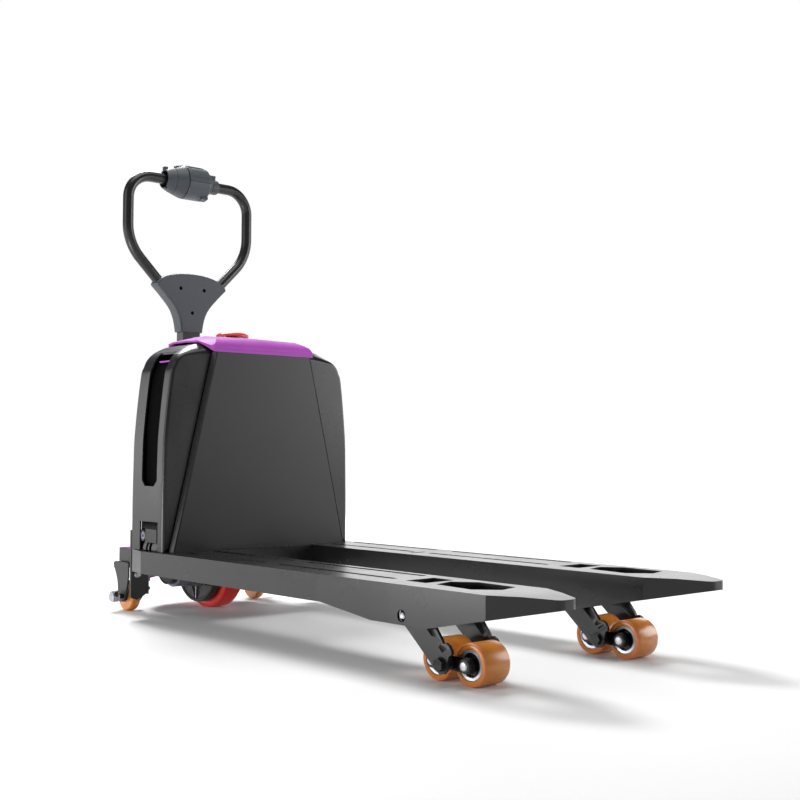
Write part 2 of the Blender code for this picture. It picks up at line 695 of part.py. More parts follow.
def drive_wheel():
    centre = (STEER_X, 0, DRIVE_RADIUS)
    hub_radius = 0.083
    tread = [
        (DRIVE_RADIUS - 0.003, 0.039), (DRIVE_RADIUS, 0.036), (DRIVE_RADIUS, -0.011),
        (DRIVE_RADIUS - 0.003, -0.014), (hub_radius + GAP, -0.014), (hub_radius + GAP, 0.039),
    ]
    tyre = turned("drive_tyre", centre, "Y", tread, closed=True, steps=32)
    disc = ((0, 0.020), (0.030, 0.020), (0.030, 0.032), (0.060, 0.032), (hub_radius, 0.037),
            (hub_radius, -0.012), (0.060, -0.0140), (0, -0.0140))
    hub = turned("drive_hub", centre, "Y", disc, steps=32)
    finish(tyre, RED_TYRE, centre)
    finish(hub, ALUMINIUM, centre)


def tiller_bracket():
    base = box("tiller_bracket", (-0.725, -0.045, 0.3123), (-0.555, 0.045, 0.3223))
    additions = []
    for name, side in SIDES:
        cheek = [(TILLER_X - 0.022, 0.3173), (TILLER_X + 0.022, 0.3173)]
        cheek += arc((TILLER_X, TILLER_PIVOT_Z), 0.022, 0, 180, 8)
        hole = arc((TILLER_X, TILLER_PIVOT_Z), 0.0083, 360, 30, 11)
        low, high = sorted((side * 0.0375, side * 0.045))
        additions.append(plate("cheek", "Y", low, high, cheek, [hole]))
    return finish(join(base, *additions), BLACK_STEEL)


def tiller_pivot_pin():
    centre = (TILLER_X, 0, TILLER_PIVOT_Z)
    return finish(rod("tiller_pivot_pin", centre, "Y", 0.008, 0.098, 20), ZINC, centre)


# ---------------------------------------------------------------- tiller with its handle and controls
def tiller_arm():
    arm = box("tiller_arm", (TILLER_X - 0.015, -0.0255, 0.345), (TILLER_X + 0.015, 0.0255, 0.715))
    bore = rod("bore", (TILLER_X, 0, TILLER_PIVOT_Z), "Y", 0.0083, 0.08, 20)
    return finish(cut(arm, bore), BLACK_COAT, (TILLER_X, 0, TILLER_PIVOT_Z))


def handle_path():
    """Half of the loop in the y, z plane, from the top bar's middle to its foot."""
    corner = (LOOP_HALF - LOOP_CORNER, LOOP_TOP_Z - LOOP_CORNER)
    path = [(0, LOOP_TOP_Z)] + arc(corner, LOOP_CORNER, 90, 0, 7)
    path += arc((LOOP_HALF - LOOP_LEG_RADIUS, LOOP_LEG_Z), LOOP_LEG_RADIUS, 0, -45, 5)
    foot_radius = 0.050
    end_y, end_z = path[-1]
    meet_z = end_z - (end_y - LOOP_FOOT_Y)
    foot_z = meet_z - foot_radius * math.tan(math.radians(22.5))
    return path + arc((LOOP_FOOT_Y + foot_radius, foot_z), foot_radius, 135, 180, 4)


def handle_points(foot_z=LOOP_FOOT_Z):
    half = handle_path() + [(LOOP_FOOT_Y, foot_z)]
    loop = list(reversed(half)) + [(-y, z) for y, z in half[1:]]
    return [(TILLER_X, y, z) for y, z in loop]


def handle_loop():
    origin = (TILLER_X, 0, TILLER_PIVOT_Z)
    return finish(tube("handle_loop", handle_points(), TUBE_RADIUS, 2), BLACK_COAT, origin)


def handle_cover(name, low, high):
    """Half of the fan-shaped cover over the joint of loop and tiller, split in the loop's plane."""
    half = [
        (0, 0.847), (0.028, 0.846), (0.055, 0.842), (0.084, 0.833), (0.105, 0.8125), (0.073, 0.7805),
        (0.050, 0.755), (0.038, 0.727), (0.0325, 0.695),
    ]
    shell = plate(name, "X", low, high, mirrored(half))
    channel = tube("channel", handle_points(LOOP_FOOT_Z - 0.010), TUBE_RADIUS + GAP, 2)
    socket = box("socket", (TILLER_X - 0.0153, -0.0258, 0.69), (TILLER_X + 0.0153, 0.0258, LOOP_FOOT_Z))
    return finish(cut(shell, channel, socket), GREY, (TILLER_X, 0, TILLER_PIVOT_Z))


def control_head():
    """Housing round the handle's top bar, with pockets for its buttons."""
    centre = (TILLER_X, 0, LOOP_TOP_Z)
    bore = TUBE_RADIUS + GAP
    profile = [
        (0.022, 0.0575), (0.024, 0.0555), (0.025, 0.0400), (0.040, 0.0395), (HEAD_RADIUS, 0.0350),
        (HEAD_RADIUS, -0.0260), (0.041, -0.0290), (0.038, -0.0390), (0.033, -0.0550), (bore, -0.0550),
        (bore, 0.0575),
    ]
    head = turned("control_head", centre, "Y", profile, closed=True, steps=24)
    pockets = [
        box("pocket", (-0.760, -0.0235, 1.0685), (-0.7310, 0.0325, 1.1035)),
        box("pocket", (-0.7205, -0.0205, 1.1190), (-0.7015, -0.0035, 1.14)),
        box("pocket", (-0.7205, 0.0095, 1.1190), (-0.7015, 0.0265, 1.14)),
    ]
    return finish(cut(head, *pockets), GREY, (TILLER_X, 0, TILLER_PIVOT_Z))


def throttle_paddle_left():
    """Ring on the top bar with a thumb bar that reaches back over the housing's collar."""
    centre = (TILLER_X, 0.069, LOOP_TOP_Z)
    piece = ring("throttle_paddle_left", centre, "Y", TUBE_RADIUS + GAP, 0.0192, 0.022, 24)
    thumb_bar = box("thumb_bar", (TILLER_X - 0.009, 0.041, LOOP_TOP_Z + 0.0258),
                    (TILLER_X + 0.003, 0.077, LOOP_TOP_Z + 0.0315))
    web = box("web", (TILLER_X - 0.009, 0.060, LOOP_TOP_Z + 0.015),
              (TILLER_X + 0.003, 0.077, LOOP_TOP_Z + 0.0285))
    return finish(join(piece, web, thumb_bar), GREY, centre)


def throttle_paddle_right():
    """Ring that carries on the housing's cone, with an open mouth round the bar and a thumb tab."""
    centre = (TILLER_X, -0.06675, LOOP_TOP_Z)
    bore = TUBE_RADIUS + GAP
    profile = [
        (0.0328, 0.01125), (0.0245, -0.01125), (0.0205, -0.01125), (0.0185, 0.0), (bore, 0.0005),
        (bore, 0.01125),
    ]
    piece = turned("throttle_paddle_right", centre, "Y", profile, closed=True, steps=24)
    tab = box("tab", (TILLER_X - 0.009, -0.077, LOOP_TOP_Z + 0.0215),
              (TILLER_X + 0.003, -0.067, LOOP_TOP_Z + 0.0300))
    return finish(join(piece, tab), GREY, centre)


def head_buttons():
    reach = TIP_X
    belly = box("belly_button", (-reach, -0.0225, 1.0695), (-0.7355, 0.0315, 1.1025))
    finish(chamfer(belly, 0.003), RED, (-0.743, 0.0045, 1.086))
    for name, low in (("lift_button", -0.0195), ("lower_button", 0.0105)):
        button = box(name, (-0.7195, low, 1.1225), (-0.7025, low + 0.015, 1.1300))
        finish(chamfer(button, 0.0015), GREY, (-0.711, low + 0.0075, 1.1225))


# ---------------------------------------------------------------- castors
def castor(name, side):
    """Swivel fork with its bolt, and the wheel that trails in it."""
    centre = (CASTOR_AXLE_X, side * CASTOR_Y, CASTOR_RADIUS)
    leg_outline = [
        (-0.698, 0.119), (-0.626, 0.119), (-0.626, 0.100), (-0.637, 0.050), (-0.645, 0.0225),
        (-0.672, 0.0225), (-0.675, 0.050), (-0.698, 0.100),
    ]
    piece_name = "castor_fork_" + name
    fork_piece = side_box(piece_name, side, (-0.697, -0.627), (0.163, 0.207), (0.112, 0.1187))
    for low, high in ((-0.024, -0.020), (0.020, 0.024)):
        edges = sorted((side * (CASTOR_Y + low), side * (CASTOR_Y + high)))
        join(fork_piece, plate("leg", "Y", *edges, leg_outline))
    join(fork_piece, rod("bolt", (centre[0], side * 0.1910, centre[2]), "Y", 0.006, 0.088, 16))
    join(fork_piece, rod("nut", (centre[0], side * 0.2170, centre[2]), "Y", 0.0130, 0.018, 6))
    join(fork_piece, rod("head", (centre[0], side * 0.1570, centre[2]), "Y", 0.0110, 0.009, 6))
    finish(fork_piece, BLACK_STEEL, (CASTOR_X, side * CASTOR_Y, 0.1197))
    half = 0.0120
    profile = [
        (CASTOR_RADIUS - 0.003, half), (CASTOR_RADIUS, half - 0.004), (CASTOR_RADIUS, 0.004 - half),
        (CASTOR_RADIUS - 0.003, -half), (0.012, -half - 0.004), (0.0063, -half - 0.004),
        (0.0063, half + 0.004), (0.012, half + 0.004),
    ]
    wheel = turned("castor_wheel_" + name, centre, "Y", profile, closed=True, steps=24)
    finish(wheel, ORANGE, centre)


# ---------------------------------------------------------------- assembly
rear_frame()
drive_mount_plate()
steering_bearing()
lift_cylinder()
rear_cover()

heel_cross_member()
casing()
rear_panel()
front_panel()
hood()
emergency_stop()
carriage_frame()
piston_rod()
battery_pack()
motor_controller()
hydraulic_power_pack()
for side_name, side_sign in SIDES:
    fork("fork_" + side_name, side_sign)
    guide_roller("guide_roller_" + side_name, side_sign)
    side_latch("side_latch_" + side_name, side_sign)
    arm_pivot_pin("arm_pivot_pin_" + side_name, side_sign)
    load_arm("load_arm_" + side_name, side_sign)
    push_rod("push_rod_" + side_name, side_sign)
    bogie("bogie_" + side_name, side_sign)
    load_roller("rear_" + side_name, side_sign, -1)
    load_roller("front_" + side_name, side_sign, 1)
    castor(side_name, side_sign)

steering_head()
gear_housing()
drive_motor()
drive_wheel()
tiller_bracket()
tiller_pivot_pin()

tiller_arm()
handle_loop()
handle_cover("handle_cover_front", TILLER_X + GAP / 2, TILLER_X + 0.019)
handle_cover("handle_cover_rear", TILLER_X - 0.019, TILLER_X - GAP / 2)
control_head()
throttle_paddle_left()
throttle_paddle_right()
head_buttons()
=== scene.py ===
"""Electric pallet truck: surfaces, fine shapes, floor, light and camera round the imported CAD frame."""

import json
import math

import bmesh
import bpy
from mathutils import Matrix, Vector

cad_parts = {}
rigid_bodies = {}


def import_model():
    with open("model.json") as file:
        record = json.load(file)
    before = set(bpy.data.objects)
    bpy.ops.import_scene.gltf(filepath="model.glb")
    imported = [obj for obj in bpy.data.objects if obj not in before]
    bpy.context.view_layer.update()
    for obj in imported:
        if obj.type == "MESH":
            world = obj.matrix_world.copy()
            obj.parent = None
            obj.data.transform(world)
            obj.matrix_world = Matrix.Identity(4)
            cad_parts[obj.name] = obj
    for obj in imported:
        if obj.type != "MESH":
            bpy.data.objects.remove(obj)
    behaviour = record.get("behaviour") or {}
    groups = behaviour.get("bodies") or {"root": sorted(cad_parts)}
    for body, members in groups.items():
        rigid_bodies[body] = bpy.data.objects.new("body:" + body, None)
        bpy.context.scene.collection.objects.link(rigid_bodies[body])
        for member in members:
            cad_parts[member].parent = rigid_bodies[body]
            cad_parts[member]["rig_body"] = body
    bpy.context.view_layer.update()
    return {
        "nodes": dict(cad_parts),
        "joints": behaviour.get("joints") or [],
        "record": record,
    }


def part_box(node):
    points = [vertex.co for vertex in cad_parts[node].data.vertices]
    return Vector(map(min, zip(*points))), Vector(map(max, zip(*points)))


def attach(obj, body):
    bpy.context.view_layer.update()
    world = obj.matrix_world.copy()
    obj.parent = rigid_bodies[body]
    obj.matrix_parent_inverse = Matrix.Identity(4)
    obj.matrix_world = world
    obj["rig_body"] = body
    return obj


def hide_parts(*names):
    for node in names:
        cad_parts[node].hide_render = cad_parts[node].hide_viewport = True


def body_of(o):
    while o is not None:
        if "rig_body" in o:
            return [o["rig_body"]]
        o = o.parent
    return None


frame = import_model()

NODES = frame["nodes"]
SIDES = (("left", 1), ("right", -1))


def low(node):
    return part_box(node)[0]


def high(node):
    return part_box(node)[1]


def middle(node):
    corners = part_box(node)
    return (corners[0] + corners[1]) / 2


def joint_point(name):
    for joint in frame["joints"]:
        if joint["name"] == name:
            return Vector(joint["pos_m"])
    raise ValueError(name)


# ------------ materials
NOISE_MIDDLE = (0.3, 0.7)        # the range that nearly all of a noise texture's values lie in
GRAIN_HEIGHT = 0.0002


def put(node, values):
    for name, value in values.items():
        node.inputs[name].default_value = value


def surface(name, dark, light, rough, metallic=0.0, grain=900.0, bump=0.05, patch=9.0, coat=0.0, shine=0.5):
    """Colour and gloss that vary softly over the surface, with a fine grain in the relief."""
    material = bpy.data.materials.new(name)
    material.use_nodes = True
    nodes = material.node_tree.nodes
    link = material.node_tree.links.new
    shader = nodes["Principled BSDF"]
    put(shader, {"Base Color": (*dark, 1.0), "Roughness": rough[0], "Metallic": metallic,
                 "Coat Weight": coat, "Coat Roughness": 0.2, "Specular IOR Level": shine})
    place = nodes.new("ShaderNodeTexCoord")
    patches = nodes.new("ShaderNodeTexNoise")
    grains = nodes.new("ShaderNodeTexNoise")
    for noise, scale, detail in ((patches, patch, 4.0), (grains, grain, 2.0)):
        put(noise, {"Scale": scale, "Detail": detail})
        link(place.outputs["Object"], noise.inputs["Vector"])
    ramp = nodes.new("ShaderNodeValToRGB")
    for stop, position, colour in zip(ramp.color_ramp.elements, NOISE_MIDDLE, (dark, light)):
        stop.position = position
        stop.color = (*colour, 1.0)
    link(patches.outputs["Fac"], ramp.inputs["Fac"])
    link(ramp.outputs["Color"], shader.inputs["Base Color"])
    gloss = nodes.new("ShaderNodeMapRange")
    put(gloss, {"From Min": NOISE_MIDDLE[0], "From Max": NOISE_MIDDLE[1],
                "To Min": rough[0], "To Max": rough[1]})
    link(patches.outputs["Fac"], gloss.inputs["Value"])
    link(gloss.outputs["Result"], shader.inputs["Roughness"])
    relief = nodes.new("ShaderNodeBump")
    put(relief, {"Strength": bump, "Distance": GRAIN_HEIGHT})
    link(grains.outputs["Fac"], relief.inputs["Height"])
    link(relief.outputs["Normal"], shader.inputs["Normal"])
    return material


BLACK_COAT = surface("satin_black_powder_coat", (0.009, 0.009, 0.0095), (0.013, 0.013, 0.0135),
                     (0.25, 0.32), grain=800, bump=0.015)
BLACK_STEEL = surface("semi_matt_black_steel", (0.01, 0.01, 0.011), (0.016, 0.016, 0.017),
                      (0.38, 0.5), grain=700, bump=0.15)
RUNNING_BLACK = surface("blackened_running_gear", (0.006, 0.006, 0.0065), (0.012, 0.012, 0.0125),
                        (0.3, 0.42), grain=500, bump=0.12)
TUBE_BLACK = surface("gloss_black_tube", (0.006, 0.006, 0.006), (0.01, 0.01, 0.01),
                     (0.26, 0.32), grain=500, bump=0.012)
PURPLE = surface("purple_moulding", (0.38, 0.062, 0.43), (0.42, 0.074, 0.47), (0.46, 0.54),
                 grain=1400, bump=0.04, shine=0.3)
RED_PLASTIC = surface("red_moulding", (0.6, 0.045, 0.03), (0.66, 0.055, 0.036), (0.32, 0.4),
                      grain=1400, bump=0.06)
GREY = surface("blue_grey_moulding", (0.04, 0.05, 0.058), (0.05, 0.061, 0.07), (0.44, 0.54),
               grain=1500, bump=0.22)
ORANGE = surface("orange_polyurethane", (0.6, 0.205, 0.024), (0.68, 0.24, 0.034), (0.24, 0.34),
                 grain=600, bump=0.03, coat=0.25)
RED_TREAD = surface("red_polyurethane", (0.72, 0.018, 0.012), (0.8, 0.026, 0.018), (0.3, 0.42),
                    grain=600, bump=0.06, coat=0.1)
RED_LIP = surface("light_red_polyurethane", (0.66, 0.045, 0.03), (0.74, 0.06, 0.04), (0.34, 0.44),
                  grain=600, bump=0.06)
ZINC = surface("bright_zinc_plate", (0.4, 0.41, 0.45), (0.52, 0.53, 0.57), (0.22, 0.34),
               metallic=1.0, grain=400, bump=0.06, patch=40.0)
HUB_SILVER = surface("machined_hub", (0.46, 0.46, 0.52), (0.58, 0.58, 0.63), (0.3, 0.42),
                     metallic=0.8, grain=600, bump=0.08, patch=30.0)
ALUMINIUM = surface("cast_aluminium", (0.3, 0.32, 0.36), (0.4, 0.42, 0.47), (0.42, 0.54),
                    metallic=0.9, grain=350, bump=0.35)
MOTOR_BLUE = surface("motor_housing", (0.16, 0.17, 0.24), (0.22, 0.23, 0.31), (0.3, 0.4),
                     metallic=0.6, grain=500, bump=0.1)
DARK_CAST = surface("dark_cast_iron", (0.02, 0.021, 0.022), (0.034, 0.035, 0.037), (0.45, 0.58),
                    grain=260, bump=0.45)
BATTERY = surface("battery_case", (0.03, 0.033, 0.036), (0.042, 0.045, 0.048), (0.5, 0.62),
                  grain=1000, bump=0.2)
# near-black, almost unreflective finish: painted shade for gaps, slot interiors, holes and recesses
PAINTED_SHADE = surface("painted_shade_black", (0.001, 0.001, 0.001), (0.0018, 0.0018, 0.0018),
                     (0.84, 0.92), grain=700, bump=0.05, shine=0.05)
PANEL_COAT = surface("satin_black_panel", (0.01, 0.01, 0.0105), (0.014, 0.014, 0.0145), (0.34, 0.42),
                     grain=800, bump=0.015, patch=5.0)
STOP_RED = surface("red_stop_moulding", (0.7, 0.06, 0.04), (0.76, 0.075, 0.05), (0.3, 0.38),
                   grain=1400, bump=0.05)
ORANGE_RIM = surface("worn_orange_rim", (0.78, 0.2, 0.075), (0.84, 0.25, 0.1), (0.36, 0.46),
                     grain=600, bump=0.06)
GLOSS_BLACK = surface("oiled_black_steel", (0.005, 0.005, 0.006), (0.01, 0.01, 0.011), (0.22, 0.34),
                      grain=500, bump=0.1)
PIN_SILVER = surface("turned_pin_end", (0.66, 0.66, 0.69), (0.76, 0.76, 0.79), (0.36, 0.46),
                     metallic=0.55, grain=900, bump=0.05, patch=60.0)

# the finish of each of the record's material slots, then the other finishes and the slots they go in
SLOT_MATERIALS = {
    "black_coat": BLACK_COAT, "black_steel": BLACK_STEEL, "running_gear_black": RUNNING_BLACK,
    "purple_plastic": PURPLE, "red_plastic": RED_PLASTIC, "grey_plastic": GREY,
    "orange_polyurethane": ORANGE, "red_polyurethane": RED_TREAD, "zinc_steel": ZINC,
    "cast_aluminium": ALUMINIUM, "battery_case": BATTERY,
}
USUAL_SLOT = {material: slot for slot, material in SLOT_MATERIALS.items()}
USUAL_SLOT.update({
    TUBE_BLACK: "black_coat", PANEL_COAT: "black_coat", PAINTED_SHADE: "black_coat",
    GLOSS_BLACK: "running_gear_black", STOP_RED: "red_plastic", RED_LIP: "red_polyurethane",
    ORANGE_RIM: "orange_polyurethane", HUB_SILVER: "zinc_steel", PIN_SILVER: "zinc_steel",
    MOTOR_BLUE: "cast_aluminium", DARK_CAST: "cast_aluminium",
})
NODE_SLOTS = {part["node"]: part["material_slot"] for part in frame["record"]["subparts"]}


def round_edges(piece, width, angle, corners):
    """Rounds the edges that are sharper than an angle in degrees."""
    step = piece.modifiers.new("edge_rounding", "BEVEL")
    step.width = width
    step.segments = 2
    step.limit_method = "ANGLE"
    step.angle_limit = math.radians(angle)
    step.miter_outer = corners


# the CAD nodes that no new piece replaces keep this finish
for node_name, node_piece in NODES.items():
    node_piece.data.materials.clear()
    node_piece.data.materials.append(SLOT_MATERIALS[NODE_SLOTS[node_name]])
    round_edges(node_piece, 0.0008, 38, "MITER_SHARP")


# ------------ shape tools
AXIS_TURN = {
    "X": Matrix.Rotation(math.radians(90), 4, "Y"), "Y": Matrix.Rotation(math.radians(-90), 4, "X"),
    "Z": Matrix.Identity(4),
}
PLANE_TURN = {
    "X": Matrix(((0, 0, 1, 0), (1, 0, 0, 0), (0, 1, 0, 0), (0, 0, 0, 1))),
    "Y": Matrix.Rotation(math.radians(90), 4, "X"), "Z": Matrix.Identity(4),
}


def collect(name, data):
    made = bpy.data.objects.new(name, data)
    bpy.context.scene.collection.objects.link(made)
    return made


def from_shape(name, shape):
    mesh = bpy.data.meshes.new(name)
    bmesh.ops.recalc_face_normals(shape, faces=shape.faces)
    shape.to_mesh(mesh)
    shape.free()
    return collect(name, mesh)


def evaluated_mesh(made):
    bpy.context.view_layer.update()
    graph = bpy.context.evaluated_depsgraph_get()
    return bpy.data.meshes.new_from_object(made.evaluated_get(graph))


def settle(made):
    """Applies the modifiers that an object has so far."""
    mesh = evaluated_mesh(made)
    made.modifiers.clear()
    made.data = mesh


def mesh_of_curve(name, curve, place):
    holder = collect(name, curve)
    mesh = evaluated_mesh(holder)
    bpy.data.objects.remove(holder, do_unlink=True)
    shape = bmesh.new()
    shape.from_mesh(mesh)
    bmesh.ops.remove_doubles(shape, verts=shape.verts, dist=0.00001)
    bmesh.ops.transform(shape, matrix=place, verts=shape.verts)
    return from_shape(name, shape)


def block(name, one, other):
    """A box between two corners."""
    start = Vector([min(pair) for pair in zip(one, other)])
    end = Vector([max(pair) for pair in zip(one, other)])
    shape = bmesh.new()
    bmesh.ops.create_cube(shape, size=1.0)
    bmesh.ops.scale(shape, vec=end - start, verts=shape.verts)
    bmesh.ops.translate(shape, vec=(end + start) / 2, verts=shape.verts)
    return from_shape(name, shape)


def prism(name, axis, start, end, outline, holes=()):
    """A flat outline with holes, as thick as from start to end along a world axis."""
    curve = bpy.data.curves.new(name, "CURVE")
    curve.dimensions = "2D"
    curve.fill_mode = "BOTH"
    curve.extrude = abs(end - start) / 2
    for loop in (outline, *holes):
        spline = curve.splines.new("POLY")
        spline.points.add(len(loop) - 1)
        for spot, (across, up) in zip(spline.points, loop):
            spot.co = (across, up, 0, 1)
        spline.use_cyclic_u = True
    offset = Vector((0, 0, 0))
    offset["XYZ".index(axis)] = (start + end) / 2
    return mesh_of_curve(name, curve, Matrix.Translation(offset) @ PLANE_TURN[axis])


def lathe(name, centre, axis, profile, steps=64, closed=False):
    """A profile of (radius, distance along the axis) points turned round the axis."""
    shape = bmesh.new()
    corners = [shape.verts.new((radius, 0, along)) for radius, along in profile]
    for first, second in zip(corners, corners[1:]):
        shape.edges.new((first, second))
    if closed:
        shape.edges.new((corners[-1], corners[0]))
    made = from_shape(name, shape)
    screw = made.modifiers.new("turn", "SCREW")
    screw.axis = "Z"
    screw.steps = steps
    screw.render_steps = steps
    screw.use_merge_vertices = True
    screw.merge_threshold = 0.00002
    settle(made)
    made.data.transform(Matrix.Translation(centre) @ AXIS_TURN[axis])
    shape = bmesh.new()
    shape.from_mesh(made.data)
    bmesh.ops.recalc_face_normals(shape, faces=shape.faces)
    shape.to_mesh(made.data)
    shape.free()
    return made


def disc(name, centre, axis, radius, length, edge=0.0006, steps=40):
    """A short bar along an axis with chamfered ends."""
    half = length / 2
    profile = ((0, half), (radius - edge, half), (radius, half - edge), (radius, edge - half),
               (radius - edge, -half), (0, -half))
    return lathe(name, centre, axis, profile, steps)


def washer(name, centre, axis, inner, outer, length, edge=0.0004, steps=48):
    half = length / 2
    profile = ((outer - edge, half), (outer, half - edge), (outer, edge - half), (outer - edge, -half),
               (inner, -half), (inner, half))
    return lathe(name, centre, axis, profile, steps, closed=True)


def hexagon(name, centre, axis, across_corners, length):
    """A hexagon bolt head or nut with its corners turned off."""
    half = length / 2
    nut = lathe(name, centre, axis, both_ways([(0, half), (across_corners, half)]), 6)
    cone = lathe("cone", centre, axis, (
        (0, half + 0.0001), (across_corners * 0.9, half + 0.0001), (across_corners * 1.04, half - 0.0014),
        (across_corners * 1.04, 0.0014 - half), (across_corners * 0.9, -half - 0.0001),
        (0, -half - 0.0001)), 48)
    return combine(nut, [cone], "INTERSECT")


def loft(name, sections):
    """A closed body through rings of (x, y, z) points of equal length."""
    shape = bmesh.new()
    loops = [[shape.verts.new(point) for point in ring] for ring in sections]
    for first, second in zip(loops, loops[1:]):
        for index, vert in enumerate(first):
            after = (index + 1) % len(first)
            shape.faces.new((vert, first[after], second[after], second[index]))
    shape.faces.new(loops[0])
    shape.faces.new(list(reversed(loops[-1])))
    return from_shape(name, shape)


def pipe(name, points, radius, resolution=7):
    curve = bpy.data.curves.new(name, "CURVE")
    curve.dimensions = "3D"
    curve.bevel_depth = radius
    curve.bevel_resolution = resolution
    curve.use_fill_caps = True
    spline = curve.splines.new("POLY")
    spline.points.add(len(points) - 1)
    for spot, point in zip(spline.points, points):
        spot.co = (*point, 1)
    return mesh_of_curve(name, curve, Matrix.Identity(4))


def clone(node, name):
    """A new piece that starts from a CAD node's shape."""
    return collect(name, NODES[node].data.copy())


def combine(made, tools, operation):
    for tool in tools:
        step = made.modifiers.new("combine", "BOOLEAN")
        step.operation = operation
        step.object = tool
        settle(made)
        bpy.data.objects.remove(tool, do_unlink=True)
    return made


def carve(made, *tools):
    return combine(made, tools, "DIFFERENCE")


def merge(made, *tools):
    return combine(made, tools, "UNION")


def round_off(made, width, segments, chosen):
    """Rounds the edges that chosen() picks from their two end points."""
    shape = bmesh.new()
    shape.from_mesh(made.data)
    edges = [edge for edge in shape.edges if chosen(edge.verts[0].co, edge.verts[1].co)]
    bmesh.ops.bevel(shape, geom=edges, offset=width, segments=segments, profile=0.5, affect="EDGES",
                    clamp_overlap=True)
    shape.to_mesh(made.data)
    shape.free()
    return made


def add(made, body, material, replaced=(), bevel=0.0004, smooth=35):
    """Makes a finished piece: its material, its edges, its body and what it stands for."""
    made.data.materials.clear()
    made.data.materials.append(material)
    made.data.shade_smooth()
    made.data.set_sharp_from_angle(angle=math.radians(smooth))
    if bevel:
        round_edges(made, bevel, 35, "MITER_ARC")
        evened = made.modifiers.new("even_shading", "WEIGHTED_NORMAL")
        evened.keep_sharp = True
    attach(made, body)
    if replaced:
        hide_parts(*replaced)


def arc(centre, radius, start, end, count):
    """Points on a circle between two angles in degrees."""
    points = []
    for step in range(count + 1):
        turn = math.radians(start + (end - start) * step / count)
        points.append((centre[0] + radius * math.cos(turn), centre[1] + radius * math.sin(turn)))
    return points


def mirrored(half):
    """An outline from its half at positive y."""
    return list(half) + [(-across, up) for across, up in reversed(half) if across > 0.00001]


def both_ways(half):
    """A turned profile from its half on the axis's positive side."""
    return half + [(across, -along) for across, along in reversed(half)]


def from_face(face, profile, way=1):
    """A turned profile whose distances run from a face, along the axis or, with way -1, against it."""
    return [(radius, face + way * depth) for radius, depth in profile]


def at_y(point, y):
    return (point.x, y, point.z)


def add_ring(name, centre, profile, steps, body, material, replaced=()):
    """A finished ring, turned round the y axis from a closed profile."""
    ring = lathe(name, centre, "Y", profile, steps, closed=True)
    add(ring, body, material, replaced, bevel=0)


def half_width(node):
    return (high(node).y - low(node).y) / 2


def half_height(node):
    return (high(node).z - low(node).z) / 2


def rounded_slot(start, end, middle_y, radius):
    """A long hole's outline along x."""
    front = arc((end - radius, middle_y), radius, -90, 90, 8)
    return front + arc((start + radius, middle_y), radius, 90, 270, 8)


# ------------ forks
GROOVE_OFFSETS = (0.054, -0.018)
GROOVE_RUNS = ((-0.34, -0.04), (0.01, 0.36))
GROOVE_HALF = 0.0066
GROOVE_DEPTH = 0.0022
HEEL_SEAM_X = -0.442
FORK_HALF = 0.074
PIN_RADIUS = 0.006
PIN_SEAT_OUT = 0.0672


def dress_fork(side_name, side):
    node = "fork_" + side_name
    top = high(node).z
    middle_y = middle(node).y
    outer_y = side * (abs(middle_y) + FORK_HALF)
    fork = clone(node, node + "_pressing")
    for offset in GROOVE_OFFSETS:
        for start, end in GROOVE_RUNS:
            outline = rounded_slot(start, end, middle_y + offset, GROOVE_HALF)
            carve(fork, prism("groove", "Z", top - GROOVE_DEPTH, top + 0.01, outline))
    carve(fork, block("seam", (HEEL_SEAM_X - 0.0005, outer_y - 0.0012, 0.1),
                      (HEEL_SEAM_X + 0.0005, outer_y + 0.0012, 0.18)))
    if side > 0:
        mark = rounded_slot(-0.0245, -0.0135, middle_y - 0.0265, 0.0052)
        carve(fork, prism("mark", "Z", top - GROOVE_DEPTH, top + 0.01, mark),
              block("mark", (-0.024, middle_y - 0.048, top - 0.0024), (-0.014, middle_y - 0.004, top + 0.01)))
    add(fork, "fork_carriage", BLACK_COAT, [node], bevel=0.0011)

    pin = "arm_pivot_pin_" + side_name
    centre = middle(pin)
    shaft = lathe(pin + "_turned", centre, "Y", both_ways(from_face(half_width(pin), (
        (0, 0.0006), (0.0018, 0), (0.0046, 0), (PIN_RADIUS, 0.0012)), -1)), 40)
    add(shaft, "fork_carriage", ZINC, [pin], bevel=0)
    # near-black rings round each pin: painted shade of the pin holes
    for way in (-1, 1):
        collar = washer("pin_seat_%s_%s" % (side_name, "out" if way * side > 0 else "in"),
                        at_y(centre, centre.y + way * PIN_SEAT_OUT), "Y", PIN_RADIUS + 0.0003, 0.0102, 0.003)
        add(collar, "fork_carriage", PAINTED_SHADE, bevel=0)


for side_name, side_sign in SIDES:
    dress_fork(side_name, side_sign)


# ------------ casing
CASING_FRONT_X = high("casing").x
CASING_REAR_X = low("casing").x
CASING_FOOT_Z = low("casing").z
PANEL_FRONT_X = high("front_panel").x
PANEL_TOP_Z = high("front_panel").z
PANEL_FOOT_HALF = high("front_panel").y
PANEL_TOP_HALF = 0.14
PANEL_GAP = 0.0026
CASING_SLOPE_X = -0.4            # the shoulders rise from the front to here
CASING_ROUND = 0.008
CASING_WALL = 0.004
CASING_SIDE = (                  # half width, height at the front and rise of the shoulder behind the slope
    (0.265, 0.266, 0), (0.263, 0.392, 0), (0.26, 0.443, 0), (0.2535, 0.51, 0), (0.246, 0.567, 0),
    (0.24, 0.583, 0), (0.232, 0.599, 0.001), (0.216, 0.611, 0.005), (0.19, 0.616, 0.014),
    (0.166, 0.619, 0.018), (0.141, 0.622, 0.021),
)


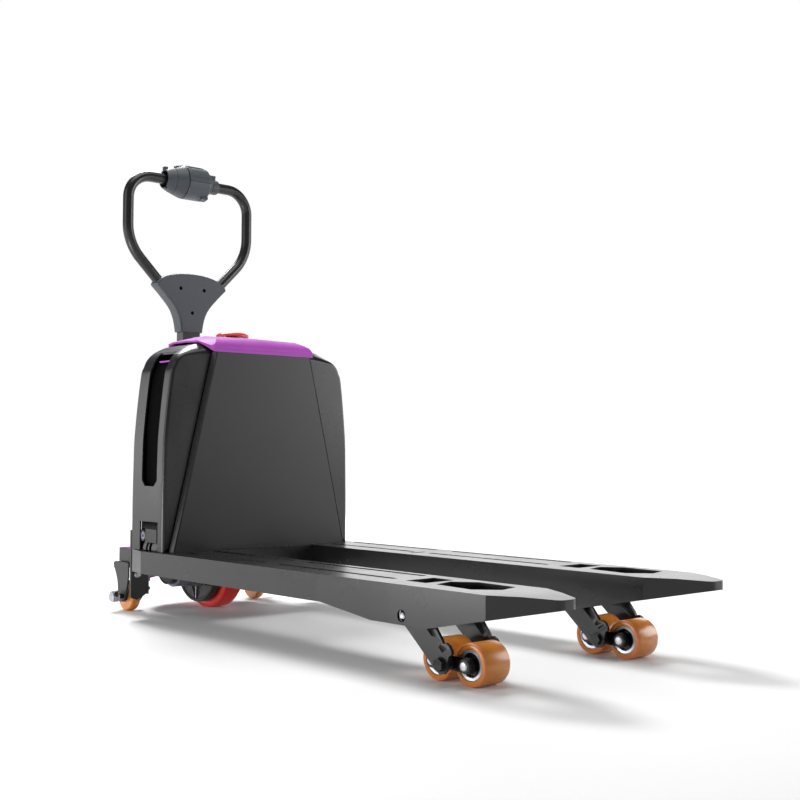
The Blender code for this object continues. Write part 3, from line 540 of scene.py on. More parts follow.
def smooth_points(corners, steps):
    """Points on a Catmull-Rom curve through the corners."""
    points = []
    last = len(corners) - 1
    for index in range(last):
        four = [corners[min(max(index + shift, 0), last)] for shift in (-1, 0, 1, 2)]
        for step in range(steps):
            t = step / steps
            weights = (
                -0.5 * t + t * t - 0.5 * t ** 3, 1 - 2.5 * t * t + 1.5 * t ** 3,
                0.5 * t + 2 * t * t - 1.5 * t ** 3, -0.5 * t * t + 0.5 * t ** 3)
            points.append(tuple(sum(w * corner[axis] for w, corner in zip(weights, four))
                                for axis in range(len(corners[0]))))
    points.append(tuple(corners[-1]))
    return points


def casing_ring(x, inset, risen, foot=CASING_FOOT_Z):
    """The casing's cross-section: sides that lean in, round shoulders and a sunk middle under the hood."""
    half = [(across, up + rise * risen) for across, up, rise in smooth_points(CASING_SIDE, 5)]
    ring = [(0.265 - inset, foot)]
    for index, (across, up) in enumerate(half):
        before = half[max(index - 1, 0)]
        after = half[min(index + 1, len(half) - 1)]
        along = Vector((after[0] - before[0], after[1] - before[1])).normalized()
        ring.append((across - inset * along.y, up + inset * along.x))
    ring.append((0.129, 0.622 - inset))
    ring.append((0, 0.622 - inset))
    return [(x, across, up) for across, up in mirrored(list(reversed(ring)))]


def dress_casing():
    rings = [casing_ring(CASING_REAR_X, 0, 1), casing_ring(CASING_SLOPE_X, 0, 1)]
    for turn in range(0, 91, 18):
        lean = math.radians(turn)
        x = CASING_FRONT_X - CASING_ROUND * (1 - math.sin(lean))
        risen = (CASING_FRONT_X - x) / (CASING_FRONT_X - CASING_SLOPE_X)
        rings.append(casing_ring(x, CASING_ROUND * (1 - math.cos(lean)), risen))
    shell = loft("casing_shell", rings)
    inside = loft("inside", [
        casing_ring(x, CASING_WALL, risen, CASING_FOOT_Z - 0.02)
        for x, risen in ((CASING_REAR_X - 0.02, 1), (CASING_SLOPE_X - CASING_WALL / 2, 1),
                         (CASING_FRONT_X - CASING_ROUND, 0.3))])
    carve(shell, inside)
    slot_outline = [
        (-0.47, 0.3225), (-0.457, 0.3095), (-0.417, 0.3095), (-0.404, 0.3225), (-0.404, 0.64), (-0.47, 0.64),
    ]
    for side in (1, -1):
        start, end = sorted((side * 0.215, side * 0.3))
        carve(shell, prism("slot", "Y", start, end, slot_outline),
              block("recess", (-0.475, side * 0.24, 0.1), (-0.397, side * 0.3, 0.229)))
    add(shell, "fork_carriage", BLACK_COAT, ["casing"], bevel=0.0011, smooth=38)

    # near-black sheets just inside the side slots: painted shade that makes the slots look deep and black
    shade_sheet_half = [
        (0.252, 0.25), (0.252, 0.44), (0.245, 0.51), (0.237, 0.56), (0.226, 0.588),
        (0.21, 0.601), (0.19, 0.606), (0.19, 0.6053), (0.2097, 0.6003), (0.2254, 0.5876),
        (0.2363, 0.5597), (0.2443, 0.5099), (0.2513, 0.4399), (0.2513, 0.25),
    ]
    for name, side in SIDES:
        outline = [(side * across, up) for across, up in shade_sheet_half]
        shade_sheet = prism("slot_shade_sheet_" + name, "X", -0.494, -0.384, outline)
        add(shade_sheet, "fork_carriage", PAINTED_SHADE, bevel=0)
        trim = block("slot_inner_trim_" + name,
                     (-0.462, side * 0.2265, 0.593), (-0.4065, side * 0.218, 0.5965))
        add(trim, "fork_carriage", PURPLE, bevel=0.0006)


LATCH_X = -0.465
LATCH_Z = 0.196


def panel_ring(height, half):
    """Cross-section of the raised panel at a height: chamfer, fine groove, then the flat face."""
    back = CASING_FRONT_X + 0.0003
    front = PANEL_FRONT_X
    side = [
        (half, back), (half - 0.0002, back + 0.0008), (half - 0.0042, front - 0.0005),
        (half - 0.0048, front), (half - 0.0056, front), (half - 0.006, front - 0.0012),
        (half - 0.0072, front - 0.0012), (half - 0.0076, front),
    ]
    ring = [(x, y, height) for y, x in side]
    return ring + [(x, -y, height) for y, x in reversed(side)]


def dress_panel():
    foot_z = low("front_panel").z
    panel = loft("raised_panel", [
        panel_ring(foot_z, PANEL_FOOT_HALF), panel_ring(PANEL_TOP_Z, PANEL_TOP_HALF)])
    add(panel, "fork_carriage", PANEL_COAT, ["front_panel"], bevel=0, smooth=20)
    depth = CASING_FRONT_X + 0.0005
    # near-black strips beside the panel's slanted edges: the painted shadow of the gap between panel and
    # casing
    for name, side in SIDES:
        strip = loft("panel_shadow_gap_" + name, [
            [(CASING_FRONT_X - 0.001, side * (half - 0.0005), height),
             (depth, side * (half - 0.0005), height), (depth, side * (half + PANEL_GAP), height),
             (CASING_FRONT_X - 0.001, side * (half + PANEL_GAP), height)]
            for height, half in ((foot_z, PANEL_FOOT_HALF), (PANEL_TOP_Z, PANEL_TOP_HALF))])
        add(strip, "fork_carriage", PAINTED_SHADE, bevel=0)
        # near-black wedges at the panel's foot corners: painted shade of the notch
        corner = loft("corner_notch_shade_" + name, [
            [(depth - 0.0013, side * 0.251, foot_z), (depth, side * 0.251, foot_z),
             (depth, side * 0.259, foot_z), (depth - 0.0013, side * 0.259, foot_z)],
            [(depth - 0.0013, side * 0.2485, foot_z + 0.01), (depth, side * 0.2485, foot_z + 0.01),
             (depth, side * 0.258, foot_z + 0.005), (depth - 0.0013, side * 0.258, foot_z + 0.005)]])
        add(corner, "fork_carriage", PAINTED_SHADE, bevel=0)


def dress_latch(name, side):
    """Lower opening in the casing's side: sloped shelf, pin head with its ring, ribbed block, bars."""
    face = side * 0.2523
    shelf = loft("latch_shelf_" + name, [
        [(x, face, top), (x, face, under), (x, side * out, lip)] for x, top, under, out, lip in (
            (-0.4735, 0.2275, 0.2225, 0.256, 0.226), (-0.464, 0.2285, 0.2125, 0.2622, 0.2135),
            (-0.403, 0.2285, 0.2125, 0.2622, 0.2135))])
    add(shelf, "fork_carriage", BLACK_COAT, bevel=0.0005)
    head = lathe("latch_pin_head_" + name, (LATCH_X, side * 0.2605, LATCH_Z), "Y", [
        (radius, side * along) for radius, along in (
            (0, 0.0026), (0.004, 0.0026), (0.0046, 0.0018), (0.009, 0.0018), (0.0096, 0.0028),
            (0.0118, 0.0026), (0.0128, 0.0012), (0.0128, -0.004), (0, -0.004))], 48)
    add(head, "fork_carriage", GLOSS_BLACK, bevel=0)
    face_disc = disc("latch_pin_face_" + name, (LATCH_X, side * 0.2619, LATCH_Z), "Y", 0.0086, 0.0016, 0.0004)
    add(face_disc, "fork_carriage", MOTOR_BLUE, bevel=0)
    ribs = block("latch_block_" + name, (-0.452, side * 0.253, 0.1815), (-0.4035, side * 0.2638, 0.2125))
    for index in range(5):
        x = -0.447 + 0.008 * index
        carve(ribs, block("slit", (x, side * 0.2622, 0.18), (x + 0.0034, side * 0.27, 0.207)))
    add(ribs, "fork_carriage", RUNNING_BLACK, bevel=0.0005)
    for index, (start, end) in enumerate(((-0.465, -0.452), (-0.444, -0.438), (-0.428, -0.404))):
        bar = loft("latch_bar_%s_%d" % (name, index), [
            [(start, face, z), (start, side * out, z), (end, side * out, z), (end, face, z)]
            for z, out in ((0.1632, 0.2615), (0.17, 0.262), (0.1815, 0.258))])
        add(bar, "fork_carriage", BLACK_COAT, bevel=0.0006)


dress_casing()
dress_panel()
for side_name, side_sign in SIDES:
    dress_latch(side_name, side_sign)


# ------------ hood and emergency stop
def dress_hood():
    hood = clone("hood", "hood_moulding")
    front = high("hood").x
    groove = block("crease", (front - 0.0007, -0.1385, 0.6262), (front + 0.01, 0.1385, 0.627))
    carve(hood, groove)
    add(hood, "fork_carriage", PURPLE, ["hood"], bevel=0.0012, smooth=24)
    # near-black strips under the hood's side edges: the painted shadow the hood edge casts on the shoulders
    for name, side in SIDES:
        seal = loft("hood_edge_shadow_" + name, [
            [(x, side * half, z), (x, side * (half - 0.006), z), (x, side * (half - 0.006), z + 0.005),
             (x, side * half, z + 0.005)]
            for x, half, z in ((-0.3765, 0.1425, 0.6232), (-0.388, 0.15, 0.63), (-0.4, 0.1555, 0.6395),
                               (-0.45, 0.159, 0.641), (-0.508, 0.159, 0.641))])
        add(seal, "fork_carriage", PAINTED_SHADE, bevel=0)


def dress_stop():
    node = "emergency_stop"
    axis = middle(node)
    foot = low(node).z
    profile = from_face(high(node).z, (
        (0, 0.0004), (0.012, 0.0003), (0.03, 0), (0.0335, 0.0006), (0.0392, 0.004), (0.04, 0.0055),
        (0.04, 0.0092), (0.0392, 0.0102), (0.015, 0.0102)), -1)
    profile += [(0.015, foot), (0, foot)]
    knob = lathe("emergency_stop_knob", (axis.x, axis.y, 0), "Z", profile, 72)
    add(knob, "stop_button", STOP_RED, [node], bevel=0)


dress_hood()
dress_stop()


# ------------ load rollers
def dress_roller(end_name, side_name):
    place = "_%s_%s" % (end_name, side_name)
    hub = "load_roller_hub" + place
    tyre = "load_roller_tyre" + place
    body = body_of(NODES[tyre])[0]
    centre = middle(tyre)
    radius = half_height(tyre)
    half = half_width(tyre)
    tread = both_ways(from_face(half, (
        (0.0264, 0.0016), (0.027, 0.0006), (0.0282, 0.0006), (0.029, 0), (radius - 0.004, 0),
        (radius - 0.002, 0.0007), (radius - 0.0006, 0.0022), (radius, 0.0044)), -1))
    add_ring("load_tread" + place, centre, tread, 72, body, ORANGE, [tyre])
    lip = from_face(half, (
        (radius - 0.00045, 0.0046), (radius - 0.00004, 0.0043), (radius - 0.0006, 0.0021),
        (radius - 0.002, 0.00055), (radius - 0.0033, 0.0002), (radius - 0.003, 0.0012)), -1)
    for way, rim in ((-1, "b"), (1, "a")):
        profile = [(across, way * along) for across, along in lip]
        add_ring("load_tread_rim%s_%s" % (place, rim), centre, profile, 72, body, ORANGE_RIM)
    metal = both_ways(from_face(half, (
        (0.0203, 0.0042), (0.0208, 0.0022), (0.0256, 0.0018), (0.0261, 0.0024)), -1))
    add_ring("load_hub" + place, centre, metal, 64, body, HUB_SILVER, [hub])
    seal = both_ways(from_face(half, (
        (0.0084, 0.004), (0.0108, 0.004), (0.0112, 0.0062), (0.0138, 0.0066),
        (0.0142, 0.0058), (0.0164, 0.0058), (0.0168, 0.0084), (0.0202, 0.0088)), -1))
    add_ring("load_bearing" + place, centre, seal, 56, body, GLOSS_BLACK)


# ------------ bogies and load arms
ROLLER_ENDS = ("rear", "front")
ARM_OUT = 0.0594                 # the arm plates' outer and inner faces and the spacers' inner ends
ARM_IN = 0.0536
SPACER_IN = 0.04
ARM_OUTLINE = (
    (0.43, 0.123), (0.445, 0.123), (0.47, 0.115), (0.4985, 0.104), (0.52, 0.0775), (0.5235, 0.0712),
    (0.529, 0.0732), (0.537, 0.0696), (0.5408, 0.065), (0.5436, 0.06), (0.543, 0.0556), (0.5375, 0.052),
    (0.535, 0.044), (0.5335, 0.03), (0.526, 0.0215), (0.5155, 0.0195), (0.506, 0.0255), (0.503, 0.036),
    (0.496, 0.048), (0.462, 0.084), (0.4215, 0.096), (0.418, 0.106), (0.419, 0.118),
)


def dress_arm(side_name, side):
    arm = "load_arm_" + side_name
    swing = joint_point("load_arm_%s_swing" % side_name)
    rock = joint_point("bogie_%s_rock" % side_name)
    made = clone(arm, arm + "_welded")
    swing_hole = arc((swing.x, swing.z), PIN_RADIUS + 0.0003, 360, 30, 11)
    for start, end in ((-ARM_OUT, -ARM_IN), (ARM_IN, ARM_OUT)):
        merge(made, prism("plate", "Y", rock.y + start, rock.y + end, ARM_OUTLINE, [swing_hole]))
    for start, end in ((-ARM_IN, -SPACER_IN), (SPACER_IN, ARM_IN)):
        centre = at_y(rock, rock.y + (start + end) / 2)
        merge(made, washer("spacer", centre, "Y", 0.005, 0.0112, end - start))
    add(made, arm, RUNNING_BLACK, [arm], bevel=0.0006, smooth=12)
    for way in (1, -1):
        face = rock.y + way * ARM_OUT
        outer = way * side > 0
        label = "%s_%s" % (side_name, "outer" if outer else "inner")
        ring = washer("bogie_bolt_washer_" + label, at_y(rock, face + way * 0.001), "Y", 0.004, 0.0128, 0.002)
        add(ring, arm, GLOSS_BLACK, bevel=0)
        reach = 0.0072 if outer else 0.0048
        head_y = face + way * (0.0019 + reach / 2)
        head = hexagon("bogie_bolt_head_" + label, at_y(rock, head_y), "Y", 0.0108, reach)
        add(head, arm, GLOSS_BLACK, bevel=0.0003)
        boss = washer("arm_boss_" + label, at_y(swing, face + way * 0.0012), "Y", 0.0063, 0.012, 0.0024)
        add(boss, arm, RUNNING_BLACK, bevel=0)


def dress_bogie(side_name, side):
    bogie = "bogie_" + side_name
    rock = joint_point("bogie_%s_rock" % side_name)
    half = half_width(bogie)
    rear, front = [joint_point("load_roller_%s_%s_spin" % (end_name, side_name)) for end_name in ROLLER_ENDS]
    outline = arc((front.x, rock.z), 0.0138, -80, 80, 12)
    outline += [(rock.x + 0.012, rock.z + 0.0122), (rock.x - 0.012, rock.z + 0.0122)]
    outline += arc((rear.x, rock.z), 0.0138, 100, 260, 12)
    outline += [(rock.x - 0.012, rock.z - 0.0122), (rock.x + 0.012, rock.z - 0.0122)]
    hole = arc((rock.x, rock.z), 0.0073, 360, 30, 11)
    for way in (-1, 1):
        label = "%s_%s" % (side_name, "outer" if way * side > 0 else "inner")
        start, end = rock.y + way * 0.0316, rock.y + way * 0.0364
        plate = prism("bogie_plate_" + label, "Y", start, end, outline, [hole])
        for axle in (rear, front):
            centre = (axle.x, rock.y + way * 0.0403, rock.z)
            merge(plate, washer("boss", centre, "Y", 0.007, 0.0124, 0.0088, 0.001))
        add(plate, bogie, GLOSS_BLACK, [bogie] if way > 0 else (), bevel=0.0007)
    for end_name, axle in zip(ROLLER_ENDS, (rear, front)):
        pin = lathe("roller_axle_%s_%s" % (end_name, side_name), axle, "Y", both_ways(from_face(half, (
            (0, 0.0003), (0.006, 0.0001), (0.0066, 0.0003), (0.0079, 0.0016)), -1)), 48)
        add(pin, bogie, PIN_SILVER, bevel=0)


for side_name, side_sign in SIDES:
    for roller_end in ROLLER_ENDS:
        dress_roller(roller_end, side_name)
    dress_arm(side_name, side_sign)
    dress_bogie(side_name, side_sign)


# ------------ castors and standing frame
def dress_castor(name, side):
    fork = "castor_fork_" + name
    wheel = "castor_wheel_" + name
    swivel = joint_point("castor_%s_swivel" % name)
    axle = joint_point("castor_wheel_%s_spin" % name)
    top_z = high(fork).z
    leg = [
        (-0.69, top_z), (-0.63, top_z), (-0.6262, top_z - 0.003), (-0.6262, 0.085), (-0.635, 0.05),
        (-0.64, 0.036), (-0.643, 0.029), (-0.649, 0.0235), (-0.663, 0.0226), (-0.6715, 0.026),
        (-0.6742, 0.04), (-0.6752, 0.056), (-0.679, 0.076), (-0.6875, 0.094), (-0.696, 0.106),
        (-0.6978, 0.113), (-0.695, 0.1172),
    ]
    made = block(fork + "_pressing", (-0.6955, axle.y - 0.0221, top_z - 0.0062),
                 (-0.628, axle.y + 0.0221, top_z - 0.0004))
    for way in (-1, 1):
        merge(made, prism("leg", "Y", axle.y + way * 0.0202, axle.y + way * 0.024, leg))
    merge(made, lathe("race", (swivel.x, swivel.y, 0), "Z", (
        (0, top_z - 0.005), (0.0185, top_z - 0.005), (0.0185, top_z - 0.012), (0.015, top_z - 0.015),
        (0, top_z - 0.015)), 40))
    merge(made, disc("bolt", axle, "Y", 0.006, 0.06))
    body = "castor_" + name
    add(made, body, BLACK_COAT, [fork], bevel=0.0008)
    out = side * max(side * low(fork).y, side * high(fork).y)
    nut = hexagon("castor_nut_" + name, at_y(axle, out - side * 0.009), "Y", 0.0142, 0.0104)
    add(nut, body, ZINC, bevel=0.0003)
    for index, (inward, radius) in enumerate(((0.0022, 0.0118), (0.016, 0.014))):
        centre = at_y(axle, out - side * inward)
        ring = washer("castor_washer_%s_%d" % (name, index), centre, "Y", 0.004, radius, 0.0028)
        add(ring, body, ZINC, bevel=0)
    end = disc("castor_bolt_end_" + name, at_y(axle, out - side * 0.0012), "Y", 0.0056, 0.0022, 0.0008)
    add(end, body, ZINC, bevel=0)
    head = hexagon("castor_bolt_head_" + name, at_y(axle, axle.y - side * 0.0285), "Y", 0.0108, 0.0075)
    add(head, body, ZINC, bevel=0.0003)
    wheel_body = "castor_wheel_" + name
    radius = half_height(wheel)
    tread = both_ways([
        (0.015, 0.0126), (0.018, 0.0112), (0.0225, 0.0104), (0.028, 0.0112), (radius - 0.003, 0.0114),
        (radius - 0.001, 0.0096), (radius, 0.0062)])
    add_ring("castor_tread_" + name, axle, tread, 64, wheel_body, ORANGE, [wheel])
    core = both_ways([(0.0064, 0.016), (0.011, 0.016), (0.012, 0.015), (0.0122, 0.0128), (0.0149, 0.0122)])
    add_ring("castor_core_" + name, axle, core, 48, wheel_body, GLOSS_BLACK)


def dress_rear_frame():
    add(clone("rear_frame", "rear_frame_welded"), "chassis", BLACK_COAT, ["rear_frame"], bevel=0.001)
    for name, side in SIDES:
        for piece_name, kind, x, y, z, axis, sizes, bevel in (
                ("frame_bolt_flange_", disc, -0.5128, 0.248, 0.103, "X", (0.0075, 0.0024), 0),
                ("frame_bolt_", hexagon, -0.509, 0.248, 0.103, "X", (0.0062, 0.0054), 0.0002),
                ("flange_bolt_shank_", disc, -0.5295, 0.211, 0.067, "Y", (0.0036, 0.011), 0),
                ("flange_bolt_nut_", hexagon, -0.5295, 0.2125, 0.067, "Y", (0.0072, 0.0056), 0.0002),
                ("flange_bolt_head_", disc, -0.5295, 0.2215, 0.067, "Y", (0.0068, 0.004, 0.0012), 0)):
            add(kind(piece_name + name, (x, side * y, z), axis, *sizes), "chassis", ZINC, bevel=bevel)
        strip = block("arm_top_trim_" + name, (-0.69, side * 0.161, 0.1521), (-0.53, side * 0.193, 0.1527))
        add(strip, "chassis", PURPLE, bevel=0.0003)
        # near-black end sheet: painted shade over the arm's rear end
        cap = block("arm_end_cap_" + name, (-0.6902, side * 0.1575, 0.1215), (-0.6925, side * 0.1965, 0.1505))
        add(cap, "chassis", PAINTED_SHADE, bevel=0.0005)


for side_name, side_sign in SIDES:
    dress_castor(side_name, side_sign)
dress_rear_frame()


# ------------ drive unit
def round_axis(centre, turn, along, across=0.0):
    """Where (along, across) lies in the x-z plane when it is turned about a centre, in degrees."""
    lean = math.radians(turn)
    return (centre.x + along * math.cos(lean) - across * math.sin(lean),
            centre.z + along * math.sin(lean) + across * math.cos(lean))


def dress_drive():
    centre = joint_point("drive_wheel_spin")
    tyre = "drive_tyre"
    radius = half_height(tyre)
    near = low(tyre).y
    far = high(tyre).y
    spot = at_y(centre, 0)
    tread = from_face(near, (
        (0.0836, 0.0016), (0.085, 0.0002), (0.088, 0.0002), (0.0905, 0.001), (0.093, 0.0002),
        (0.0975, 0.0002), (0.101, 0.0016), (radius - 0.0012, 0.0048), (radius, 0.009)))
    tread += from_face(far, (
        (radius, 0.009), (radius - 0.0012, 0.0048), (0.101, 0.0016), (0.0975, 0.0002), (0.085, 0.0002),
        (0.0836, 0.0016)), -1)
    add_ring("drive_tread", spot, tread, 96, "drive_wheel", RED_TREAD, [tyre])
    bead = from_face(near, (
        (0.0905, 0.0005), (0.093, 0.00012), (0.0985, 0.00012), (0.1016, 0.0017), (0.1043, 0.0047),
        (0.1036, 0.0052), (0.1, 0.0024), (0.096, 0.0014), (0.091, 0.0016)))
    add_ring("drive_tread_rim", spot, bead, 96, "drive_wheel", RED_LIP)
    hub_far = high("drive_hub").y
    hub = lathe("drive_hub_casting", spot, "Y", (
        (0, 0.02), (0.012, 0.02), (0.013, 0.0225), (0.026, 0.0225), (0.029, 0.0205), (0.032, 0.0205),
        (0.035, 0.031), (0.06, 0.0325), (0.07, 0.0345), (0.0735, 0.032), (0.0775, 0.032),
        (0.08, hub_far - 0.001), (0.0828, hub_far - 0.001), (0.0829, -0.011), (0.06, -0.0138),
        (0, -0.0138)), 72)
    for turn in range(30, 390, 60):
        x, z = round_axis(centre, turn, 0.0475)
        carve(hub, disc("hole", (x, 0.033, z), "Y", 0.0082, 0.012, 0.0005, 24))
    add(hub, "drive_wheel", ALUMINIUM, ["drive_hub"], bevel=0.0006)
    for index in range(5):
        x, z = round_axis(centre, 72 * index, 0.0195)
        bolt = hexagon("wheel_bolt_%d" % index, (x, 0.0245, z), "Y", 0.0052, 0.0044)
        add(bolt, "drive_wheel", ZINC, bevel=0.0002)


def dress_gear_drum():
    """The gear housing: a turned drum with a sunk ring that six wedges and their ribs divide."""
    node = "gear_housing"
    centre = middle(node)
    near = low(node).y
    far = high(node).y
    profile = from_face(far, ((0, 0.0004), (0.087, 0.0004), (0.089, 0.003)), -1)
    profile += from_face(near, (
        (0.0895, 0.004), (0.088, 0.0006), (0.0835, 0.0003), (0.0815, 0.0022), (0.079, 0.0036),
        (0.054, 0.0036), (0.0515, 0.0014), (0.05, 0.0006), (0, 0.0006)))
    drum = lathe("gear_drum", at_y(centre, 0), "Y", profile, 96)
    wedge = both_ways([(0.084, 0.003), (0.056, 0.02), (0.052, 0.02)])
    rib = ((0.053, 0.001), (0.0815, 0.001), (0.0815, -0.001), (0.053, -0.001))
    turns = range(30, 390, 60)
    for turn in turns:
        outline = [round_axis(centre, turn, along, across) for along, across in wedge]
        carve(drum, prism("wedge", "Y", near - 0.01, near + 0.0075, outline))
    add(drum, "drive_unit", DARK_CAST, [node], bevel=0.0008)
    for index, turn in enumerate(turns):
        outline = [round_axis(centre, turn, along, across) for along, across in rib]
        add(prism("gear_drum_rib_%d" % index, "Y", near + 0.0016, near + 0.008, outline), "drive_unit", ZINC,
            bevel=0.0003)


def dress_motor():
    node = "drive_motor"
    centre = middle(node)
    near = low(node).y
    far = high(node).y
    spot = at_y(centre, 0)
    profile = [(0, far), (0.0465, far), (0.048, far - 0.0016)]
    profile += from_face(near, ((0.048, 0.02), (0.0462, 0.018), (0.0445, 0.0172), (0, 0.0172)))
    case = lathe("drive_motor_case", spot, "Y", profile, 80)
    for index in range(20):
        x, z = round_axis(centre, 18 * index + 9, 0.0492)
        carve(case, disc("flute", (x, (far + near) / 2 + 0.012, z), "Y", 0.0022, 0.034, 0.0004, 16))
    add(case, "drive_unit", MOTOR_BLUE, [node], bevel=0.0003)
    cap = lathe("drive_motor_end_cap", spot, "Y", from_face(near, (
        (0, 0.0168), (0.04, 0.0168), (0.041, 0.0158), (0.041, 0.003), (0.0395, 0.0012), (0.037, 0.0012),
        (0.0355, 0.003), (0.034, 0.0022), (0.02, 0.001), (0.019, 0.0002), (0, 0.0002))), 72)
    for turn in (270, 30, 150):
        x, z = round_axis(centre, turn, 0.0385)
        carve(cap, disc("notch", (x, near, z), "Y", 0.0032, 0.012, 0.0004, 20))
    add(cap, "drive_unit", DARK_CAST, bevel=0.0005)
    profile = from_face(near, ((0.0205, 0.0014), (0.0335, 0.0026), (0.0335, 0.003), (0.0205, 0.0018)))
    add_ring("drive_motor_cap_face", spot, profile, 64, "drive_unit", ALUMINIUM)


def dress_rear_cover():
    node = "rear_cover"
    cover = clone(node, "rear_cover_moulding")
    x = joint_point("steering").x
    for height in (low(node).z + 0.03, high(node).z - 0.034):
        carve(cover, washer("groove", (x, 0, height), "Z", 0.1492, 0.16, 0.0016, 0.0002, 96))
    add(cover, "chassis", PURPLE, [node], bevel=0.0014, smooth=30)


dress_drive()
dress_gear_drum()
dress_motor()
dress_rear_cover()


# ------------ tiller and handle
TUBE_RADIUS = 0.0135
TUBE_BORE = TUBE_RADIUS + 0.0003
PIVOT = joint_point("tiller_tilt")
BAR_Z = high("handle_loop").z - TUBE_RADIUS
LOOP_HALF = high("handle_loop").y - TUBE_RADIUS


def loop_points():
    """The loop's path: top bar, round corners, straight sides, then legs that lean in to the foot."""
    corner = 0.0615
    half = [(0, BAR_Z)] + arc((LOOP_HALF - corner, BAR_Z - corner), corner, 90, 0, 18)
    half += arc((LOOP_HALF - 0.12, 0.96), 0.12, 0, -45, 14)
    foot_y = 0.0155
    foot_radius = 0.05
    end_y, end_z = half[-1]
    meet_z = end_z - (end_y - foot_y)
    foot_z = meet_z - foot_radius * math.tan(math.radians(22.5))
    half += arc((foot_y + foot_radius, foot_z), foot_radius, 135, 180, 8)
    half.append((foot_y, low("handle_loop").z + 0.0002))
    return [(PIVOT.x, y, z) for y, z in reversed(half)] + [(PIVOT.x, -y, z) for y, z in half[1:]]


def dress_loop():
    tube = pipe("handle_tube", loop_points(), TUBE_RADIUS - 0.00005, 9)
    add(tube, "tiller", TUBE_BLACK, ["handle_loop"], bevel=0)


COVER_HALF = (
    (0, 0.847), (0.016, 0.8467), (0.032, 0.8456), (0.048, 0.8434), (0.064, 0.84), (0.079, 0.8352),
    (0.092, 0.8284), (0.1005, 0.8216), (0.1046, 0.814), (0.103, 0.8112), (0.088, 0.796), (0.074, 0.7818),
    (0.0635, 0.771), (0.055, 0.761), (0.048, 0.751), (0.0425, 0.7395), (0.0385, 0.728), (0.0355, 0.715),
    (0.0335, 0.704), (0.0325, 0.6955),
)


def dress_cover(node, way):
    """One half of the shell round the loop's foot, its outer edge rounded over in steps."""
    near, far = (low(node).x, high(node).x) if way > 0 else (high(node).x, low(node).x)
    face = far - way * 0.0002
    rings = []
    for x, shrink, drop in (
            (near, 0, 0), (face - way * 0.0066, 0, 0), (face - way * 0.0036, 0.0008, 0.0006),
            (face - way * 0.0014, 0.0026, 0.0016), (face, 0.0056, 0.003)):
        ring = []
        for across, up in mirrored(COVER_HALF):
            squeeze = max(abs(across) - shrink, 0) * (1 if across > 0 else -1)
            ring.append((x, squeeze, up - (drop if up > 0.8 else 0)))
        rings.append(ring)
    shell = loft("cover_shell_front" if way > 0 else "cover_shell_rear", rings)
    near_end = low("tiller_arm")
    far_end = high("tiller_arm")
    socket = block("socket", (near_end.x - 0.0003, near_end.y - 0.0003, 0.6),
                   (far_end.x + 0.0003, far_end.y + 0.0003, far_end.z + 0.0002))
    carve(shell, pipe("channel", loop_points(), TUBE_BORE), socket)
    if way > 0:
        for index, (y, z) in enumerate(((-0.035, 0.8065), (0.035, 0.8065), (0, 0.7453))):
            carve(shell, disc("hole", (face, y, z), "X", 0.0048, 0.008, 0.0004, 28))
            # screws sunk in their holes, near-black: the holes' shade painted onto them
            sunk = lathe("cover_screw_%d" % index, (face - 0.003, y, z), "X", (
                (0, 0), (0.0014, 0), (0.0018, 0.0008), (0.0038, 0.0006), (0.0046, -0.001), (0, -0.001)), 32)
            add(sunk, "tiller", PAINTED_SHADE, bevel=0)
    add(shell, "tiller", GREY, [node], bevel=0.0006, smooth=28)


def dress_tiller():
    arm = clone("tiller_arm", "tiller_box")
    front = high("tiller_arm").x
    for z in (0.46, 0.56):
        outline = arc((0, z + 0.03), 0.006, 0, 180, 8) + arc((0, z - 0.03), 0.006, 180, 360, 8)
        carve(arm, prism("slot", "X", front - 0.0008, front + 0.01, outline))
    add(arm, "tiller", BLACK_COAT, ["tiller_arm"], bevel=0.0024)


dress_loop()
dress_cover("handle_cover_front", 1)
dress_cover("handle_cover_rear", -1)
dress_tiller()


# ------------ control head
HEAD_RADIUS = 0.043
THUMB_REAR = -0.0088             # how far the paddles' thumb pieces reach to each side of the bar's axis
THUMB_FRONT = 0.0028
BAR_MIDDLE = (PIVOT.x, 0, BAR_Z)


def at_bar(x, y, z):
    """A place whose x and z are given from the loop's top bar."""
    return (PIVOT.x + x, y, BAR_Z + z)


